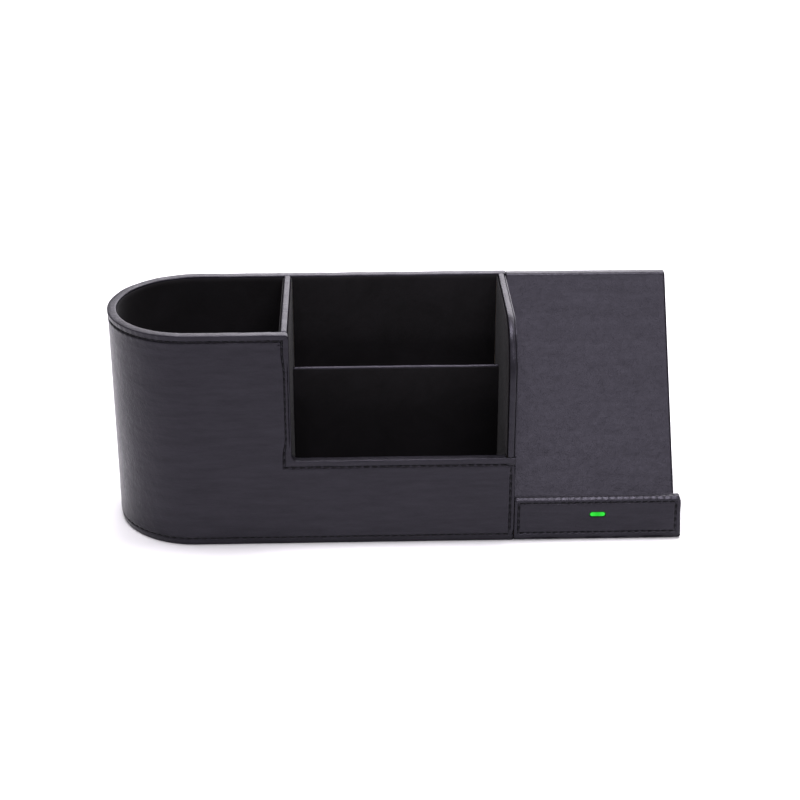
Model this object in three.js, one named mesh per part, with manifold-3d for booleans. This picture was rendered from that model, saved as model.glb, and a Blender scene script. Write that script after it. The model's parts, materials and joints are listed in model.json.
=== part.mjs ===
// A leather-covered desk organizer with a wireless charging stand built into its right-hand end:
// a half-round pen cup, a card compartment with a low front and a cross partition, and a leaning
// charging panel above a ledge that carries the phone. Millimetres, +Z up, front towards -Y, origin
// at the middle of the underside. Needs the npm packages three and manifold-3d.
import * as THREE from 'three';
import { mergeVertices } from 'three/addons/utils/BufferGeometryUtils.js';
import Module from 'manifold-3d';

const wasm = await Module();
wasm.setup();

// Driving dimensions.
const WIDTH = 272.5;
const DEPTH = 80;
const HEIGHT = 109;
const CUP_LENGTH = 86.4;
const ORGANIZER_LENGTH = 192.2;
const NOTCH_HEIGHT = 44.6;
const NOTCH_CORNER = 3;
const SIDE_WALL_CORNER = 25;
const PARTITION_HEIGHT = 70.5;
const PARTITION_FRONT = 10;
const PARTITION_THICKNESS = 3.2;
const LEDGE_HEIGHT = 22.4;
const LEDGE_OVERHANG = 1.2;
const LIP_THICKNESS = 4.4;
const TROUGH_HEIGHT = 16.5;
const TROUGH_WIDTH = 9.5;
const PANEL_TOP_DEPTH = 5;

// Sheets and boards, from the outside of a wall inwards.
const LEATHER = 0.8;
const BOARD = 2.9;
const LINING = 0.6;
const GAP = 0.1;
const TURNED_GAP = 0.3;
const WALL = LEATHER + GAP + BOARD + GAP + LINING;

// Levels above the surface that the organizer stands on.
const SHEET_TOP = 0.8;
const SHEET_INSET = 1.1;
const COVER_BOTTOM = 0.4;
const BOARD_BOTTOM = SHEET_TOP + GAP;
const BASE_BOARD = 3;
const BASE_TOP = BOARD_BOTTOM + BASE_BOARD;
const FLOOR_BOTTOM = BASE_TOP + GAP;
const FLOOR_THICKNESS = 1;
const FLOOR_TOP = FLOOR_BOTTOM + FLOOR_THICKNESS;
const BOARD_TOP = HEIGHT - LEATHER - GAP;

// Places along X and Y.
const LEFT = -WIDTH / 2;
const RIGHT = WIDTH / 2;
const FRONT = -DEPTH / 2;
const BACK = DEPTH / 2;
const END_CENTRE = LEFT + DEPTH / 2;
const BEND_OVERLAP = 6;
const BEND_END = END_CENTRE + BEND_OVERLAP;
const DIVIDER_RIGHT = LEFT + CUP_LENGTH;
const DIVIDER_LEFT = DIVIDER_RIGHT - WALL;
const SIDE_WALL_RIGHT = LEFT + ORGANIZER_LENGTH;
const SIDE_WALL_LEFT = SIDE_WALL_RIGHT - WALL;
const BACK_BOARD_FRONT = BACK - LEATHER - GAP - BOARD;

// Charging stand.
const STAND_LEFT = SIDE_WALL_RIGHT + GAP;
const STAND_RIGHT = RIGHT - LEDGE_OVERHANG;
const STAND_CENTRE = (SIDE_WALL_RIGHT + RIGHT) / 2;
const END_COVER_LEFT = STAND_RIGHT - LEATHER;
const FRAME_RIGHT = END_COVER_LEFT - GAP;
const SIDE_BOARD = 2.6;
const LIP_BACK = FRONT + LIP_THICKNESS;
const PANEL_FOOT = LIP_BACK + TROUGH_WIDTH;
const PANEL_TOP = BACK - PANEL_TOP_DEPTH;
const PANEL_RISE = HEIGHT - TROUGH_HEIGHT;
const PANEL_TILT = Math.atan2(PANEL_TOP - PANEL_FOOT, PANEL_RISE);
const PANEL_LENGTH = Math.hypot(PANEL_TOP - PANEL_FOOT, PANEL_RISE);
const PANEL_BOARD_FACE = LEATHER + TURNED_GAP;
const PANEL_BOARD_BACK = PANEL_BOARD_FACE + BOARD;
const PANEL_BOARD_START = 2;
const PANEL_BOARD_TOP_GAP = 1.2;
const PANEL_BOARD_END = PANEL_LENGTH - PANEL_BOARD_TOP_GAP;
const PANEL_TOP_BEND = 2;
const BACK_TOP_BEND = 1.4;
const LEDGE_BEND = 1.4;
const SHARP_BEND = 0.3;
const TROUGH_BOARD_TOP = TROUGH_HEIGHT - LEATHER - GAP;
const TROUGH_BOARD = 2.8;
const TROUGH_BOARD_OVERLAP = 6;
const TROUGH_BOARD_BACK = PANEL_FOOT + TROUGH_BOARD_OVERLAP;
const LED_NOTCH = { halfWidth: 8, depth: 4.2 };

// Service opening in the stand's base, and the plate that closes it.
const STAND_BASE_BOARD = 4.5;
const STAND_BASE_TOP = BOARD_BOTTOM + STAND_BASE_BOARD;
const PLATE = { halfWidth: 35, front: -24, back: 27, thickness: 2 };
const OPENING_MARGIN = 5;
const SCREW_INSET = 2.6;
const SCREW_SHANK = 1.1;
const SCREW_HEAD = 2.2;
const SCREW_HEAD_HEIGHT = 1;
const SCREW_LENGTH = 3.8;
const CROSS_SLOT = { halfLength: 1.3, halfWidth: 0.25, depth: 0.7 };
const FOOT_RADIUS = 4;
const FOOT_X = 30;
const FOOT_ROWS = [-31, 31.8];

// Charging electronics.
const COIL_CENTRE = 60;
const TRAY_RADIUS = 30.5;
const TRAY_WALL = 1.6;
const TRAY_DEPTH = 6;
const TRAY_FACE = 1.2;
const COIL_OUTER = 24;
const COIL_INNER = 10;
const COIL_THICKNESS = 1.2;
const COIL_TURNS = 8;
const FERRITE_RADIUS = 26;
const FERRITE_THICKNESS = 1;
const PCB = { halfWidth: 25, front: -12, back: 33.5, bottom: 7.1, thickness: 1.6 };
const PCB_TOP = PCB.bottom + PCB.thickness;
const PEG_X = 21;
const PEG_ROWS = [-9, 18];
const PEG_RADIUS = 1;
const PEG_CLEARANCE = 0.2;
const PEG_RISE = 0.5;
const BOSS_RADIUS = 2.5;
const MERGE = 0.5;
const PORT_SIZE = { width: 8.9, height: 3.2, wall: 0.3 };
const PORT_Z = PCB_TOP + GAP + PORT_SIZE.height / 2;
const PORT_FRONT = 31.8;
const PORT_SETBACK = 0.6;
const PORT_MOUTH = BACK - PORT_SETBACK;
const TONGUE = { halfWidth: 3.3, halfHeight: 0.35, plug: 1.6, setback: 1 };
const BEZEL = { width: 15, height: 9 };
const LED_Z = 13.8;
const LIGHT = { width: 8, height: 3 };
const LIGHT_REACH = 0.6;
const LIGHT_BACK = LIP_BACK + LIGHT_REACH;
const LIGHT_SETBACK = 0.05;
const LED = { halfWidth: 1.6, halfHeight: 0.8, thickness: 1 };
const LED_FRONT = LIGHT_BACK + 0.2;
const LED_BOARD = { halfWidth: 7, bottom: 7, thickness: 1, topGap: 0.4 };
const LED_BOARD_FRONT = LED_FRONT + LED.thickness + GAP;
const COIL_RIDGE = 0.4;

// Wires, as the places that they pass: depth and distance up the slope in the panel's frame, or
// sideways, depth and level in the stand.
const WIRE_RADIUS = 0.5;
const WIRE_STEPS = 24;
const LEAD_SPREAD = 4;
const LEAD_ON_PANEL = [[3.6, -27.5], [7.2, -28.2]];
const LEAD_BELOW = [[5, -1, 30], [6, -4, 18], [6, -5, PCB_TOP + 0.4]];
const CABLE_RADIUS = 0.8;
const CABLE_STEPS = 16;
const CABLE_PLACES = [[-32, 9.5], [-27, 9.4], [-20, 9.9], [-14, 10.5], [-9, 9.9]];

// Components on the circuit board: sideways place and depth of the middle, then width, depth, height.
const CONTROLLER = [-8, 6, 7, 7, 0.9];
const COIL_DRIVER = [8, 2, 5, 6, 0.9];
const INDUCTOR = [14, 14, 7, 7, 4];
const CAPACITOR = [3.2, 5.7, 2.4];
const CAPACITOR_ROW = { start: -4, pitch: 4.4, depth: 14.5, count: 3 };

const ARC_STEPS = 32;
const ROUND_STEPS = 6;
const DISC_SEGMENTS = 36;
const SMALL_SEGMENTS = 20;

// Colour, roughness and metalness of each material.
const LOOKS = {
  leather: [0x26252a, 0.55, 0],
  lining: [0x141416, 0.85, 0],
  board: [0x8a7a66, 0.9, 0],
  sheet: [0x17171a, 0.95, 0],
  plastic: [0x1b1b1e, 0.5, 0],
  rubber: [0x121214, 0.8, 0],
  circuit: [0x1d5a3a, 0.5, 0],
  chip: [0x151517, 0.4, 0],
  copper: [0xb5703c, 0.35, 1],
  ferrite: [0x3a3a3e, 0.7, 0],
  steel: [0xb9bcc0, 0.3, 1],
  light: [0x22ff44, 0.3, 0],
};

const organizer = new THREE.Group();
const panel = new THREE.Group();
panel.position.set(0, PANEL_FOOT, TROUGH_HEIGHT);
panel.rotation.x = -PANEL_TILT;
panel.updateMatrix();
organizer.add(panel);

function addPiece(name, shape, look, parent = organizer) {
  const geometry = shape instanceof wasm.Manifold ? geometryOf(shape) : shape;
  const [color, roughness, metalness] = LOOKS[look];
  const material = new THREE.MeshStandardMaterial({ color, roughness, metalness });
  const mesh = new THREE.Mesh(geometry, material);
  mesh.name = name;
  parent.add(mesh);
  return mesh;
}

function solidOf(geometry) {
  const bare = geometry.clone();
  bare.deleteAttribute('normal');
  bare.deleteAttribute('uv');
  const merged = mergeVertices(bare, 1e-4);
  return new wasm.Manifold(new wasm.Mesh({
    numProp: 3,
    vertProperties: new Float32Array(merged.attributes.position.array),
    triVerts: new Uint32Array(merged.index.array),
  }));
}

function geometryOf(solid) {
  const mesh = solid.getMesh();
  const geometry = new THREE.BufferGeometry();
  geometry.setAttribute('position', new THREE.BufferAttribute(mesh.vertProperties, 3));
  geometry.setIndex(new THREE.BufferAttribute(mesh.triVerts, 1));
  geometry.computeVertexNormals();
  return geometry;
}

function box(low, high) {
  const size = high.map((value, axis) => value - low[axis]);
  const middle = high.map((value, axis) => (value + low[axis]) / 2);
  return new THREE.BoxGeometry(...size).translate(...middle);
}

function extrude(shape, depth) {
  return new THREE.ExtrudeGeometry(shape, { depth, bevelEnabled: false, curveSegments: ROUND_STEPS });
}

// An outline drawn in X and Y, raised from one level to another.
function planSolid(shape, bottom, top) {
  return extrude(shape, top - bottom).translate(0, 0, bottom);
}

// An outline drawn in X and Z, running from the front to the back.
function frontalSolid(shape, front, back) {
  return extrude(shape, back - front).rotateX(Math.PI / 2).translate(0, back, 0);
}

// An outline drawn in Y and Z, running from the left to the right.
function profileSolid(shape, left, right) {
  const turn = new THREE.Matrix4().makeBasis(
    new THREE.Vector3(0, 1, 0),
    new THREE.Vector3(0, 0, 1),
    new THREE.Vector3(1, 0, 0),
  );
  return extrude(shape, right - left).applyMatrix4(turn).translate(left, 0, 0);
}

function point(x, y) {
  return new THREE.Vector2(x, y);
}

// The unit vector to the right of the way from one point to the next.
function rightOf(from, to) {
  return point(to.y - from.y, from.x - to.x).normalize();
}

// The path moved sideways to its right by a distance, with mitred corners.
function offsetPath(path, distance) {
  const last = path.length - 1;
  return path.map((place, i) => {
    const before = i > 0 ? rightOf(path[i - 1], place) : rightOf(place, path[1]);
    const after = i < last ? rightOf(place, path[i + 1]) : rightOf(path[last - 1], place);
    const mitre = before.clone().add(after).divideScalar(1 + before.dot(after));
    return place.clone().addScaledVector(mitre, distance);
  });
}

// The strip between two offsets of a path.
function band(path, near, far) {
  return new THREE.Shape([...offsetPath(path, near), ...offsetPath(path, far).reverse()]);
}

// The path through the corners, with each inner corner rounded; radii holds one value per corner.
function roundedPath(corners, radii) {
  const path = [corners[0]];
  for (let i = 1; i < corners.length - 1; i += 1) {
    const corner = corners[i];
    const back = corners[i - 1].clone().sub(corner).setLength(radii[i - 1]).add(corner);
    const ahead = corners[i + 1].clone().sub(corner).setLength(radii[i - 1]).add(corner);
    path.push(...new THREE.QuadraticBezierCurve(back, corner, ahead).getPoints(ROUND_STEPS));
  }
  path.push(corners[corners.length - 1]);
  return path;
}

// A flat-sided slot outline with round ends, centred on (x, y).
function pill(width, height, x = 0, y = 0) {
  const radius = height / 2;
  const reach = width / 2 - radius;
  const shape = new THREE.Shape();
  shape.absarc(x + reach, y, radius, -Math.PI / 2, Math.PI / 2);
  shape.absarc(x - reach, y, radius, Math.PI / 2, Math.PI * 1.5);
  shape.closePath();
  return shape;
}

// A disc or rod standing on a level.
function rod(radius, x, y, bottom, top) {
  const turned = new THREE.CylinderGeometry(radius, radius, top - bottom, SMALL_SEGMENTS);
  return turned.rotateX(Math.PI / 2).translate(x, y, (bottom + top) / 2);
}

// The outside of the wall in plan: along the front to the left, round the end, and back to the
// right. Its inside is on the right of the path.
function wallPath(rightEnd) {
  const path = [point(rightEnd, FRONT)];
  for (let step = 0; step <= ARC_STEPS; step += 1) {
    const angle = -Math.PI * (0.5 + step / ARC_STEPS);
    path.push(point(END_CENTRE + BACK * Math.cos(angle), BACK * Math.sin(angle)));
  }
  path.push(point(rightEnd, BACK));
  return path;
}

// The flat area inside the wall in plan, as far as rightEnd.
function floorPlan(rightEnd, inset) {
  return new THREE.Shape(offsetPath(wallPath(rightEnd), inset));
}

// What is cut out of the front wall above the compartment, grown by a distance.
function notchCut(grow) {
  const left = DIVIDER_RIGHT - grow;
  const bottom = NOTCH_HEIGHT - grow;
  const shape = new THREE.Shape();
  shape.moveTo(left, HEIGHT + 1);
  shape.lineTo(left, bottom + NOTCH_CORNER);
  shape.absarc(left + NOTCH_CORNER, bottom + NOTCH_CORNER, NOTCH_CORNER, Math.PI, Math.PI * 1.5);
  shape.lineTo(SIDE_WALL_RIGHT + 2, bottom);
  shape.lineTo(SIDE_WALL_RIGHT + 2, HEIGHT + 1);
  return solidOf(frontalSolid(shape, FRONT - 2, FRONT + WALL + 2));
}

// Outer leather of the cup and compartment: it turns over the rim and round the notch.
function outerWallCover() {
  const envelope = solidOf(planSolid(band(wallPath(SIDE_WALL_RIGHT), 0, WALL), COVER_BOTTOM, HEIGHT));
  const inside = solidOf(
    planSolid(band(wallPath(SIDE_WALL_RIGHT + 1), LEATHER, WALL + 1), -1, HEIGHT - LEATHER),
  );
  const besideSideWall = solidOf(box(
    [SIDE_WALL_LEFT - GAP, FRONT + LEATHER, -1],
    [SIDE_WALL_RIGHT + 1, 0, HEIGHT + 1],
  ));
  return envelope
    .subtract(notchCut(0))
    .subtract(inside.subtract(notchCut(LEATHER)))
    .subtract(besideSideWall);
}

function frontBoard() {
  const front = FRONT + LEATHER + GAP;
  const whole = box(
    [BEND_END + GAP, front, BOARD_BOTTOM],
    [SIDE_WALL_LEFT - GAP, front + BOARD, BOARD_TOP],
  );
  return solidOf(whole).subtract(notchCut(LEATHER + GAP));
}

function backBoard() {
  return box(
    [BEND_END + GAP, BACK_BOARD_FRONT, BOARD_BOTTOM],
    [SIDE_WALL_RIGHT, BACK_BOARD_FRONT + BOARD, BOARD_TOP],
  );
}

function bentEndBoard() {
  const near = LEATHER + GAP;
  return planSolid(band(wallPath(BEND_END), near, near + BOARD), BOARD_BOTTOM, BOARD_TOP);
}

function cupLining() {
  const path = wallPath(DIVIDER_LEFT - GAP);
  return planSolid(band(path, WALL - LINING, WALL), FLOOR_BOTTOM, BOARD_TOP);
}

function compartmentLining(front, top) {
  return box(
    [DIVIDER_RIGHT + GAP, front, FLOOR_BOTTOM],
    [SIDE_WALL_LEFT - GAP, front + LINING, top],
  );
}

// A flat board covered on both faces and over its top edge; thin is the axis of its thickness.
function wrapOf(low, high, thin) {
  const innerLow = low.map((value) => value - 1);
  const innerHigh = high.map((value) => value + 1);
  innerLow[thin] = low[thin] + LEATHER;
  innerHigh[thin] = high[thin] - LEATHER;
  innerHigh[2] = high[2] - LEATHER;
  return solidOf(box(low, high)).subtract(solidOf(box(innerLow, innerHigh)));
}

function boardWithin(low, high, thin) {
  const boardLow = [...low];
  const boardHigh = [...high];
  boardLow[thin] += LEATHER + GAP;
  boardHigh[thin] -= LEATHER + GAP;
  boardHigh[2] -= LEATHER + GAP;
  return box(boardLow, boardHigh);
}

// Side view of the wall beside the charging stand, with its round upper front corner.
function sideWallOutline(inset, bottom, back) {
  const front = FRONT + inset;
  const top = HEIGHT - inset;
  const radius = SIDE_WALL_CORNER - inset;
  const shape = new THREE.Shape();
  shape.moveTo(back, bottom);
  shape.lineTo(back, top);
  shape.lineTo(front + radius, top);
  shape.absarc(front + radius, top - radius, radius, Math.PI / 2, Math.PI);
  shape.lineTo(front, bottom);
  return shape;
}

function sideWallCover() {
  const back = BACK - WALL - GAP;
  const envelope = profileSolid(sideWallOutline(0, BOARD_BOTTOM, back), SIDE_WALL_LEFT, SIDE_WALL_RIGHT);
  const inside = profileSolid(
    sideWallOutline(LEATHER, -1, back + 1),
    SIDE_WALL_LEFT + LEATHER,
    SIDE_WALL_RIGHT - LEATHER,
  );
  const behindFrontCover = box(
    [SIDE_WALL_LEFT - 1, FRONT - 1, -1],
    [SIDE_WALL_RIGHT + 1, FRONT + LEATHER + GAP, NOTCH_HEIGHT + GAP],
  );
  return solidOf(envelope).subtract(solidOf(inside)).subtract(solidOf(behindFrontCover));
}

function sideWallBoard() {
  const outline = sideWallOutline(LEATHER + GAP, BOARD_BOTTOM, BACK - WALL - GAP);
  return profileSolid(outline, SIDE_WALL_LEFT + LEATHER + GAP, SIDE_WALL_RIGHT - LEATHER - GAP);
}

// Side view of the ledge: its front, lip and trough floor, set in by a distance.
function ledgeOutline(inset, back, bottom) {
  const corners = [
    point(FRONT + inset, bottom),
    point(FRONT + inset, LEDGE_HEIGHT - inset),
    point(LIP_BACK - inset, LEDGE_HEIGHT - inset),
    point(LIP_BACK - inset, TROUGH_HEIGHT - inset),
    point(back, TROUGH_HEIGHT - inset),
    point(back, bottom),
  ];
  const round = Math.max(LEDGE_BEND - inset, SHARP_BEND);
  return new THREE.Shape(roundedPath(corners, [round, round, SHARP_BEND, SHARP_BEND]));
}

function lightSlot(front, back, clearance) {
  const outline = pill(LIGHT.width + 2 * clearance, LIGHT.height + 2 * clearance, STAND_CENTRE, LED_Z);
  return solidOf(frontalSolid(outline, front, back));
}

function ledgeCover() {
  const back = PANEL_FOOT - GAP;
  const envelope = profileSolid(ledgeOutline(0, back, COVER_BOTTOM), STAND_LEFT, RIGHT);
  const inside = profileSolid(ledgeOutline(LEATHER, back + 1, -1), STAND_LEFT - 1, RIGHT - LEATHER);
  return solidOf(envelope)
    .subtract(solidOf(inside))
    .subtract(lightSlot(FRONT - 1, FRONT + 2, GAP));
}

function lipBoard() {
  const front = FRONT + LEATHER + GAP;
  const back = LIP_BACK - LEATHER - GAP;
  const top = LEDGE_HEIGHT - LEATHER - GAP;
  const outline = new THREE.Shape(roundedPath(
    [point(front, BOARD_BOTTOM), point(front, top), point(back, top), point(back, BOARD_BOTTOM)],
    [0.8, 0.8],
  ));
  return solidOf(profileSolid(outline, STAND_LEFT + GAP, RIGHT - LEATHER - GAP))
    .subtract(lightSlot(FRONT, LIP_BACK, GAP));
}

function troughBoard() {
  const front = LIP_BACK - LEATHER + GAP;
  const whole = box(
    [STAND_LEFT + GAP, front, TROUGH_BOARD_TOP - TROUGH_BOARD],
    [FRAME_RIGHT, TROUGH_BOARD_BACK, TROUGH_BOARD_TOP],
  );
  const ledNotch = box(
    [STAND_CENTRE - LED_NOTCH.halfWidth, front - 1, 0],
    [STAND_CENTRE + LED_NOTCH.halfWidth, front + LED_NOTCH.depth, TROUGH_HEIGHT],
  );
  return solidOf(whole).subtract(solidOf(ledNotch));
}

// Leather of the charging panel: up the leaning face, over the top and down the back.
function panelCover() {
  const path = roundedPath(
    [
      point(PANEL_FOOT, TROUGH_HEIGHT),
      point(PANEL_TOP, HEIGHT),
      point(BACK, HEIGHT),
      point(BACK, COVER_BOTTOM),
    ],
    [PANEL_TOP_BEND, BACK_TOP_BEND],
  );
  return solidOf(profileSolid(band(path, 0, LEATHER), STAND_LEFT, FRAME_RIGHT))
    .subtract(portSlot(GAP));
}

function portSlot(clearance) {
  const outline = pill(BEZEL.width + 2 * clearance, BEZEL.height + 2 * clearance, STAND_CENTRE, PORT_Z);
  return solidOf(frontalSolid(outline, BACK_BOARD_FRONT - 1, BACK + 1));
}

function endCover() {
  const outline = new THREE.Shape(roundedPath(
    [
      point(PANEL_FOOT, COVER_BOTTOM),
      point(PANEL_FOOT, TROUGH_HEIGHT),
      point(PANEL_TOP, HEIGHT),
      point(BACK, HEIGHT),
      point(BACK, COVER_BOTTOM),
    ],
    [SHARP_BEND, PANEL_TOP_BEND, BACK_TOP_BEND],
  ));
  return profileSolid(outline, END_COVER_LEFT, STAND_RIGHT);
}

// In the panel's own frame: Y runs into the panel from its face and Z up its slope.
function panelBoard() {
  const whole = box(
    [STAND_LEFT + GAP, PANEL_BOARD_FACE, PANEL_BOARD_START],
    [FRAME_RIGHT, PANEL_BOARD_BACK, PANEL_BOARD_END],
  );
  const opening = new THREE.CylinderGeometry(
    TRAY_RADIUS + TURNED_GAP,
    TRAY_RADIUS + TURNED_GAP,
    BOARD * 3,
    DISC_SEGMENTS,
  ).translate(STAND_CENTRE, PANEL_BOARD_FACE, COIL_CENTRE);
  return solidOf(whole).subtract(solidOf(opening));
}

// The point under the panel board at a distance up its slope, seen from the side.
function underPanel(alongSlope) {
  const depth = PANEL_BOARD_BACK + TURNED_GAP;
  return point(
    PANEL_FOOT + depth * Math.cos(PANEL_TILT) + alongSlope * Math.sin(PANEL_TILT),
    TROUGH_HEIGHT - depth * Math.sin(PANEL_TILT) + alongSlope * Math.cos(PANEL_TILT),
  );
}

// How far up the slope the underside of the panel board reaches a given depth.
function slopeAt(y) {
  const start = underPanel(0);
  return (y - start.x) / Math.sin(PANEL_TILT);
}

function standBackBoard() {
  const top = underPanel(slopeAt(BACK_BOARD_FRONT)).y - 1;
  const whole = box(
    [STAND_LEFT + GAP, BACK_BOARD_FRONT, BOARD_BOTTOM],
    [FRAME_RIGHT, BACK_BOARD_FRONT + BOARD, top],
  );
  return solidOf(whole).subtract(portSlot(GAP));
}

function standSideBoard(left) {
  const front = LIP_BACK - LEATHER + GAP;
  const back = BACK_BOARD_FRONT - GAP;
  const underTrough = TROUGH_BOARD_TOP - TROUGH_BOARD - GAP;
  const outline = new THREE.Shape([
    point(front, BOARD_BOTTOM),
    point(front, underTrough),
    point(TROUGH_BOARD_BACK + GAP, underTrough),
    underPanel(slopeAt(TROUGH_BOARD_BACK + GAP)),
    underPanel(slopeAt(back)),
    point(back, BOARD_BOTTOM),
  ]);
  return profileSolid(outline, left, left + SIDE_BOARD);
}

function standBaseBoard() {
  const whole = box(
    [STAND_LEFT + GAP + SIDE_BOARD + GAP, LIP_BACK - LEATHER + GAP, BOARD_BOTTOM],
    [FRAME_RIGHT - SIDE_BOARD - GAP, BACK_BOARD_FRONT - GAP, STAND_BASE_TOP],
  );
  const rebate = box(
    [STAND_CENTRE - PLATE.halfWidth - GAP, PLATE.front - GAP, 0],
    [STAND_CENTRE + PLATE.halfWidth + GAP, PLATE.back + GAP, BOARD_BOTTOM + PLATE.thickness + GAP],
  );
  const opening = box(
    [STAND_CENTRE - PLATE.halfWidth + OPENING_MARGIN, PLATE.front + OPENING_MARGIN, 0],
    [STAND_CENTRE + PLATE.halfWidth - OPENING_MARGIN, PLATE.back - OPENING_MARGIN, STAND_BASE_TOP + 1],
  );
  let board = solidOf(whole).subtract(solidOf(rebate)).subtract(solidOf(opening));
  for (const [x, y] of screwPlaces()) {
    board = board.subtract(solidOf(rod(SCREW_SHANK + GAP, x, y, 0, BOARD_BOTTOM + SCREW_LENGTH + GAP)));
  }
  return board;
}

function screwPlaces() {
  const places = [];
  for (const y of [PLATE.front + SCREW_INSET, PLATE.back - SCREW_INSET]) {
    for (const side of [-1, 1]) {
      places.push([STAND_CENTRE + side * (PLATE.halfWidth - SCREW_INSET), y]);
    }
  }
  return places;
}

function pegPlaces() {
  const places = [];
  for (const y of PEG_ROWS) {
    for (const side of [-1, 1]) {
      places.push([STAND_CENTRE + side * PEG_X, y]);
    }
  }
  return places;
}

// Plate with four bosses whose pegs hold the circuit board.
function bottomPlate() {
  const top = BOARD_BOTTOM + PLATE.thickness;
  let plate = solidOf(box(
    [STAND_CENTRE - PLATE.halfWidth, PLATE.front, BOARD_BOTTOM],
    [STAND_CENTRE + PLATE.halfWidth, PLATE.back, top],
  ));
  for (const [x, y] of pegPlaces()) {
    plate = plate
      .add(solidOf(rod(BOSS_RADIUS, x, y, top - MERGE, PCB.bottom - GAP)))
      .add(solidOf(rod(PEG_RADIUS, x, y, top, PCB_TOP + PEG_RISE)));
  }
  for (const [x, y] of screwPlaces()) {
    plate = plate
      .subtract(solidOf(rod(SCREW_SHANK + GAP, x, y, 0, top + 1)))
      .subtract(solidOf(rod(SCREW_HEAD + GAP, x, y, 0, BOARD_BOTTOM + SCREW_HEAD_HEIGHT + 2 * GAP)));
  }
  return plate;
}

function plateScrew(x, y) {
  const headBottom = BOARD_BOTTOM + GAP;
  const headTop = headBottom + SCREW_HEAD_HEIGHT;
  const slotTop = BOARD_BOTTOM + CROSS_SLOT.depth;
  const slot = (alongX, alongY) => solidOf(box(
    [x - alongX, y - alongY, 0],
    [x + alongX, y + alongY, slotTop],
  ));
  return solidOf(rod(SCREW_HEAD, x, y, headBottom, headTop))
    .add(solidOf(rod(SCREW_SHANK, x, y, headTop - MERGE, BOARD_BOTTOM + SCREW_LENGTH)))
    .subtract(slot(CROSS_SLOT.halfLength, CROSS_SLOT.halfWidth))
    .subtract(slot(CROSS_SLOT.halfWidth, CROSS_SLOT.halfLength));
}

// A ring or dish turned about the panel's normal, centred on the coil.
function panelTurned(profile) {
  const points = profile.map(([radius, y]) => point(radius, y));
  return new THREE.LatheGeometry(points, DISC_SEGMENTS).translate(STAND_CENTRE, 0, COIL_CENTRE);
}

function coilTray() {
  const face = PANEL_BOARD_FACE;
  const back = face + TRAY_DEPTH;
  const inner = TRAY_RADIUS - TRAY_WALL;
  return panelTurned([
    [0, face],
    [TRAY_RADIUS, face],
    [TRAY_RADIUS, back],
    [inner, back],
    [inner, face + TRAY_FACE],
    [0, face + TRAY_FACE],
  ]);
}

// A flat winding whose turns show as ridges on its back.
function chargingCoil() {
  const face = PANEL_BOARD_FACE + TRAY_FACE + TURNED_GAP;
  const back = face + COIL_THICKNESS;
  const pitch = (COIL_OUTER - COIL_INNER) / COIL_TURNS;
  const profile = [[COIL_INNER, face], [COIL_OUTER, face]];
  for (let turn = 0; turn < COIL_TURNS; turn += 1) {
    const outer = COIL_OUTER - turn * pitch;
    profile.push([outer, back - COIL_RIDGE], [outer - pitch / 2, back]);
  }
  profile.push([COIL_INNER, back - COIL_RIDGE], [COIL_INNER, face]);
  return panelTurned(profile);
}

function ferriteSheet() {
  const face = PANEL_BOARD_FACE + TRAY_FACE + TURNED_GAP + COIL_THICKNESS + TURNED_GAP;
  return panelTurned([
    [0, face],
    [FERRITE_RADIUS, face],
    [FERRITE_RADIUS, face + FERRITE_THICKNESS],
    [0, face + FERRITE_THICKNESS],
  ]);
}

function mainBoard() {
  let board = solidOf(box(
    [STAND_CENTRE - PCB.halfWidth, PCB.front, PCB.bottom],
    [STAND_CENTRE + PCB.halfWidth, PCB.back, PCB_TOP],
  ));
  for (const [x, y] of pegPlaces()) {
    board = board.subtract(solidOf(rod(PEG_RADIUS + PEG_CLEARANCE, x, y, 0, PCB_TOP + 1)));
  }
  return board;
}

// A component on the circuit board, placed from the middle of the stand.
function boardComponent(x, y, width, depth, height) {
  const bottom = PCB_TOP + GAP;
  return box(
    [STAND_CENTRE + x - width / 2, y - depth / 2, bottom],
    [STAND_CENTRE + x + width / 2, y + depth / 2, bottom + height],
  );
}

function portShell() {
  const { width, height, wall } = PORT_SIZE;
  const outline = pill(width, height, STAND_CENTRE, PORT_Z);
  outline.holes.push(pill(width - 2 * wall, height - 2 * wall, STAND_CENTRE, PORT_Z));
  return frontalSolid(outline, PORT_FRONT, PORT_MOUTH);
}

function portTongue() {
  const { width, height, wall } = PORT_SIZE;
  const inner = wall + GAP;
  const plug = frontalSolid(
    pill(width - 2 * inner, height - 2 * inner, STAND_CENTRE, PORT_Z),
    PORT_FRONT,
    PORT_FRONT + TONGUE.plug,
  );
  const blade = box(
    [STAND_CENTRE - TONGUE.halfWidth, PORT_FRONT + TONGUE.plug - MERGE, PORT_Z - TONGUE.halfHeight],
    [STAND_CENTRE + TONGUE.halfWidth, PORT_MOUTH - TONGUE.setback, PORT_Z + TONGUE.halfHeight],
  );
  return solidOf(plug).add(solidOf(blade));
}

function portBezel() {
  const { width, height } = PORT_SIZE;
  const outline = pill(BEZEL.width, BEZEL.height, STAND_CENTRE, PORT_Z);
  outline.holes.push(pill(width + 2 * GAP, height + 2 * GAP, STAND_CENTRE, PORT_Z));
  return frontalSolid(outline, BACK_BOARD_FRONT, BACK);
}

function lightPipe() {
  const outline = pill(LIGHT.width, LIGHT.height, STAND_CENTRE, LED_Z);
  return frontalSolid(outline, FRONT + LIGHT_SETBACK, LIGHT_BACK);
}

function wire(points, radius, steps) {
  const section = new THREE.Shape().absarc(0, 0, radius, 0, Math.PI * 2);
  return new THREE.ExtrudeGeometry(section, {
    steps,
    curveSegments: 4,
    extrudePath: new THREE.CatmullRomCurve3(points),
  });
}

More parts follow.
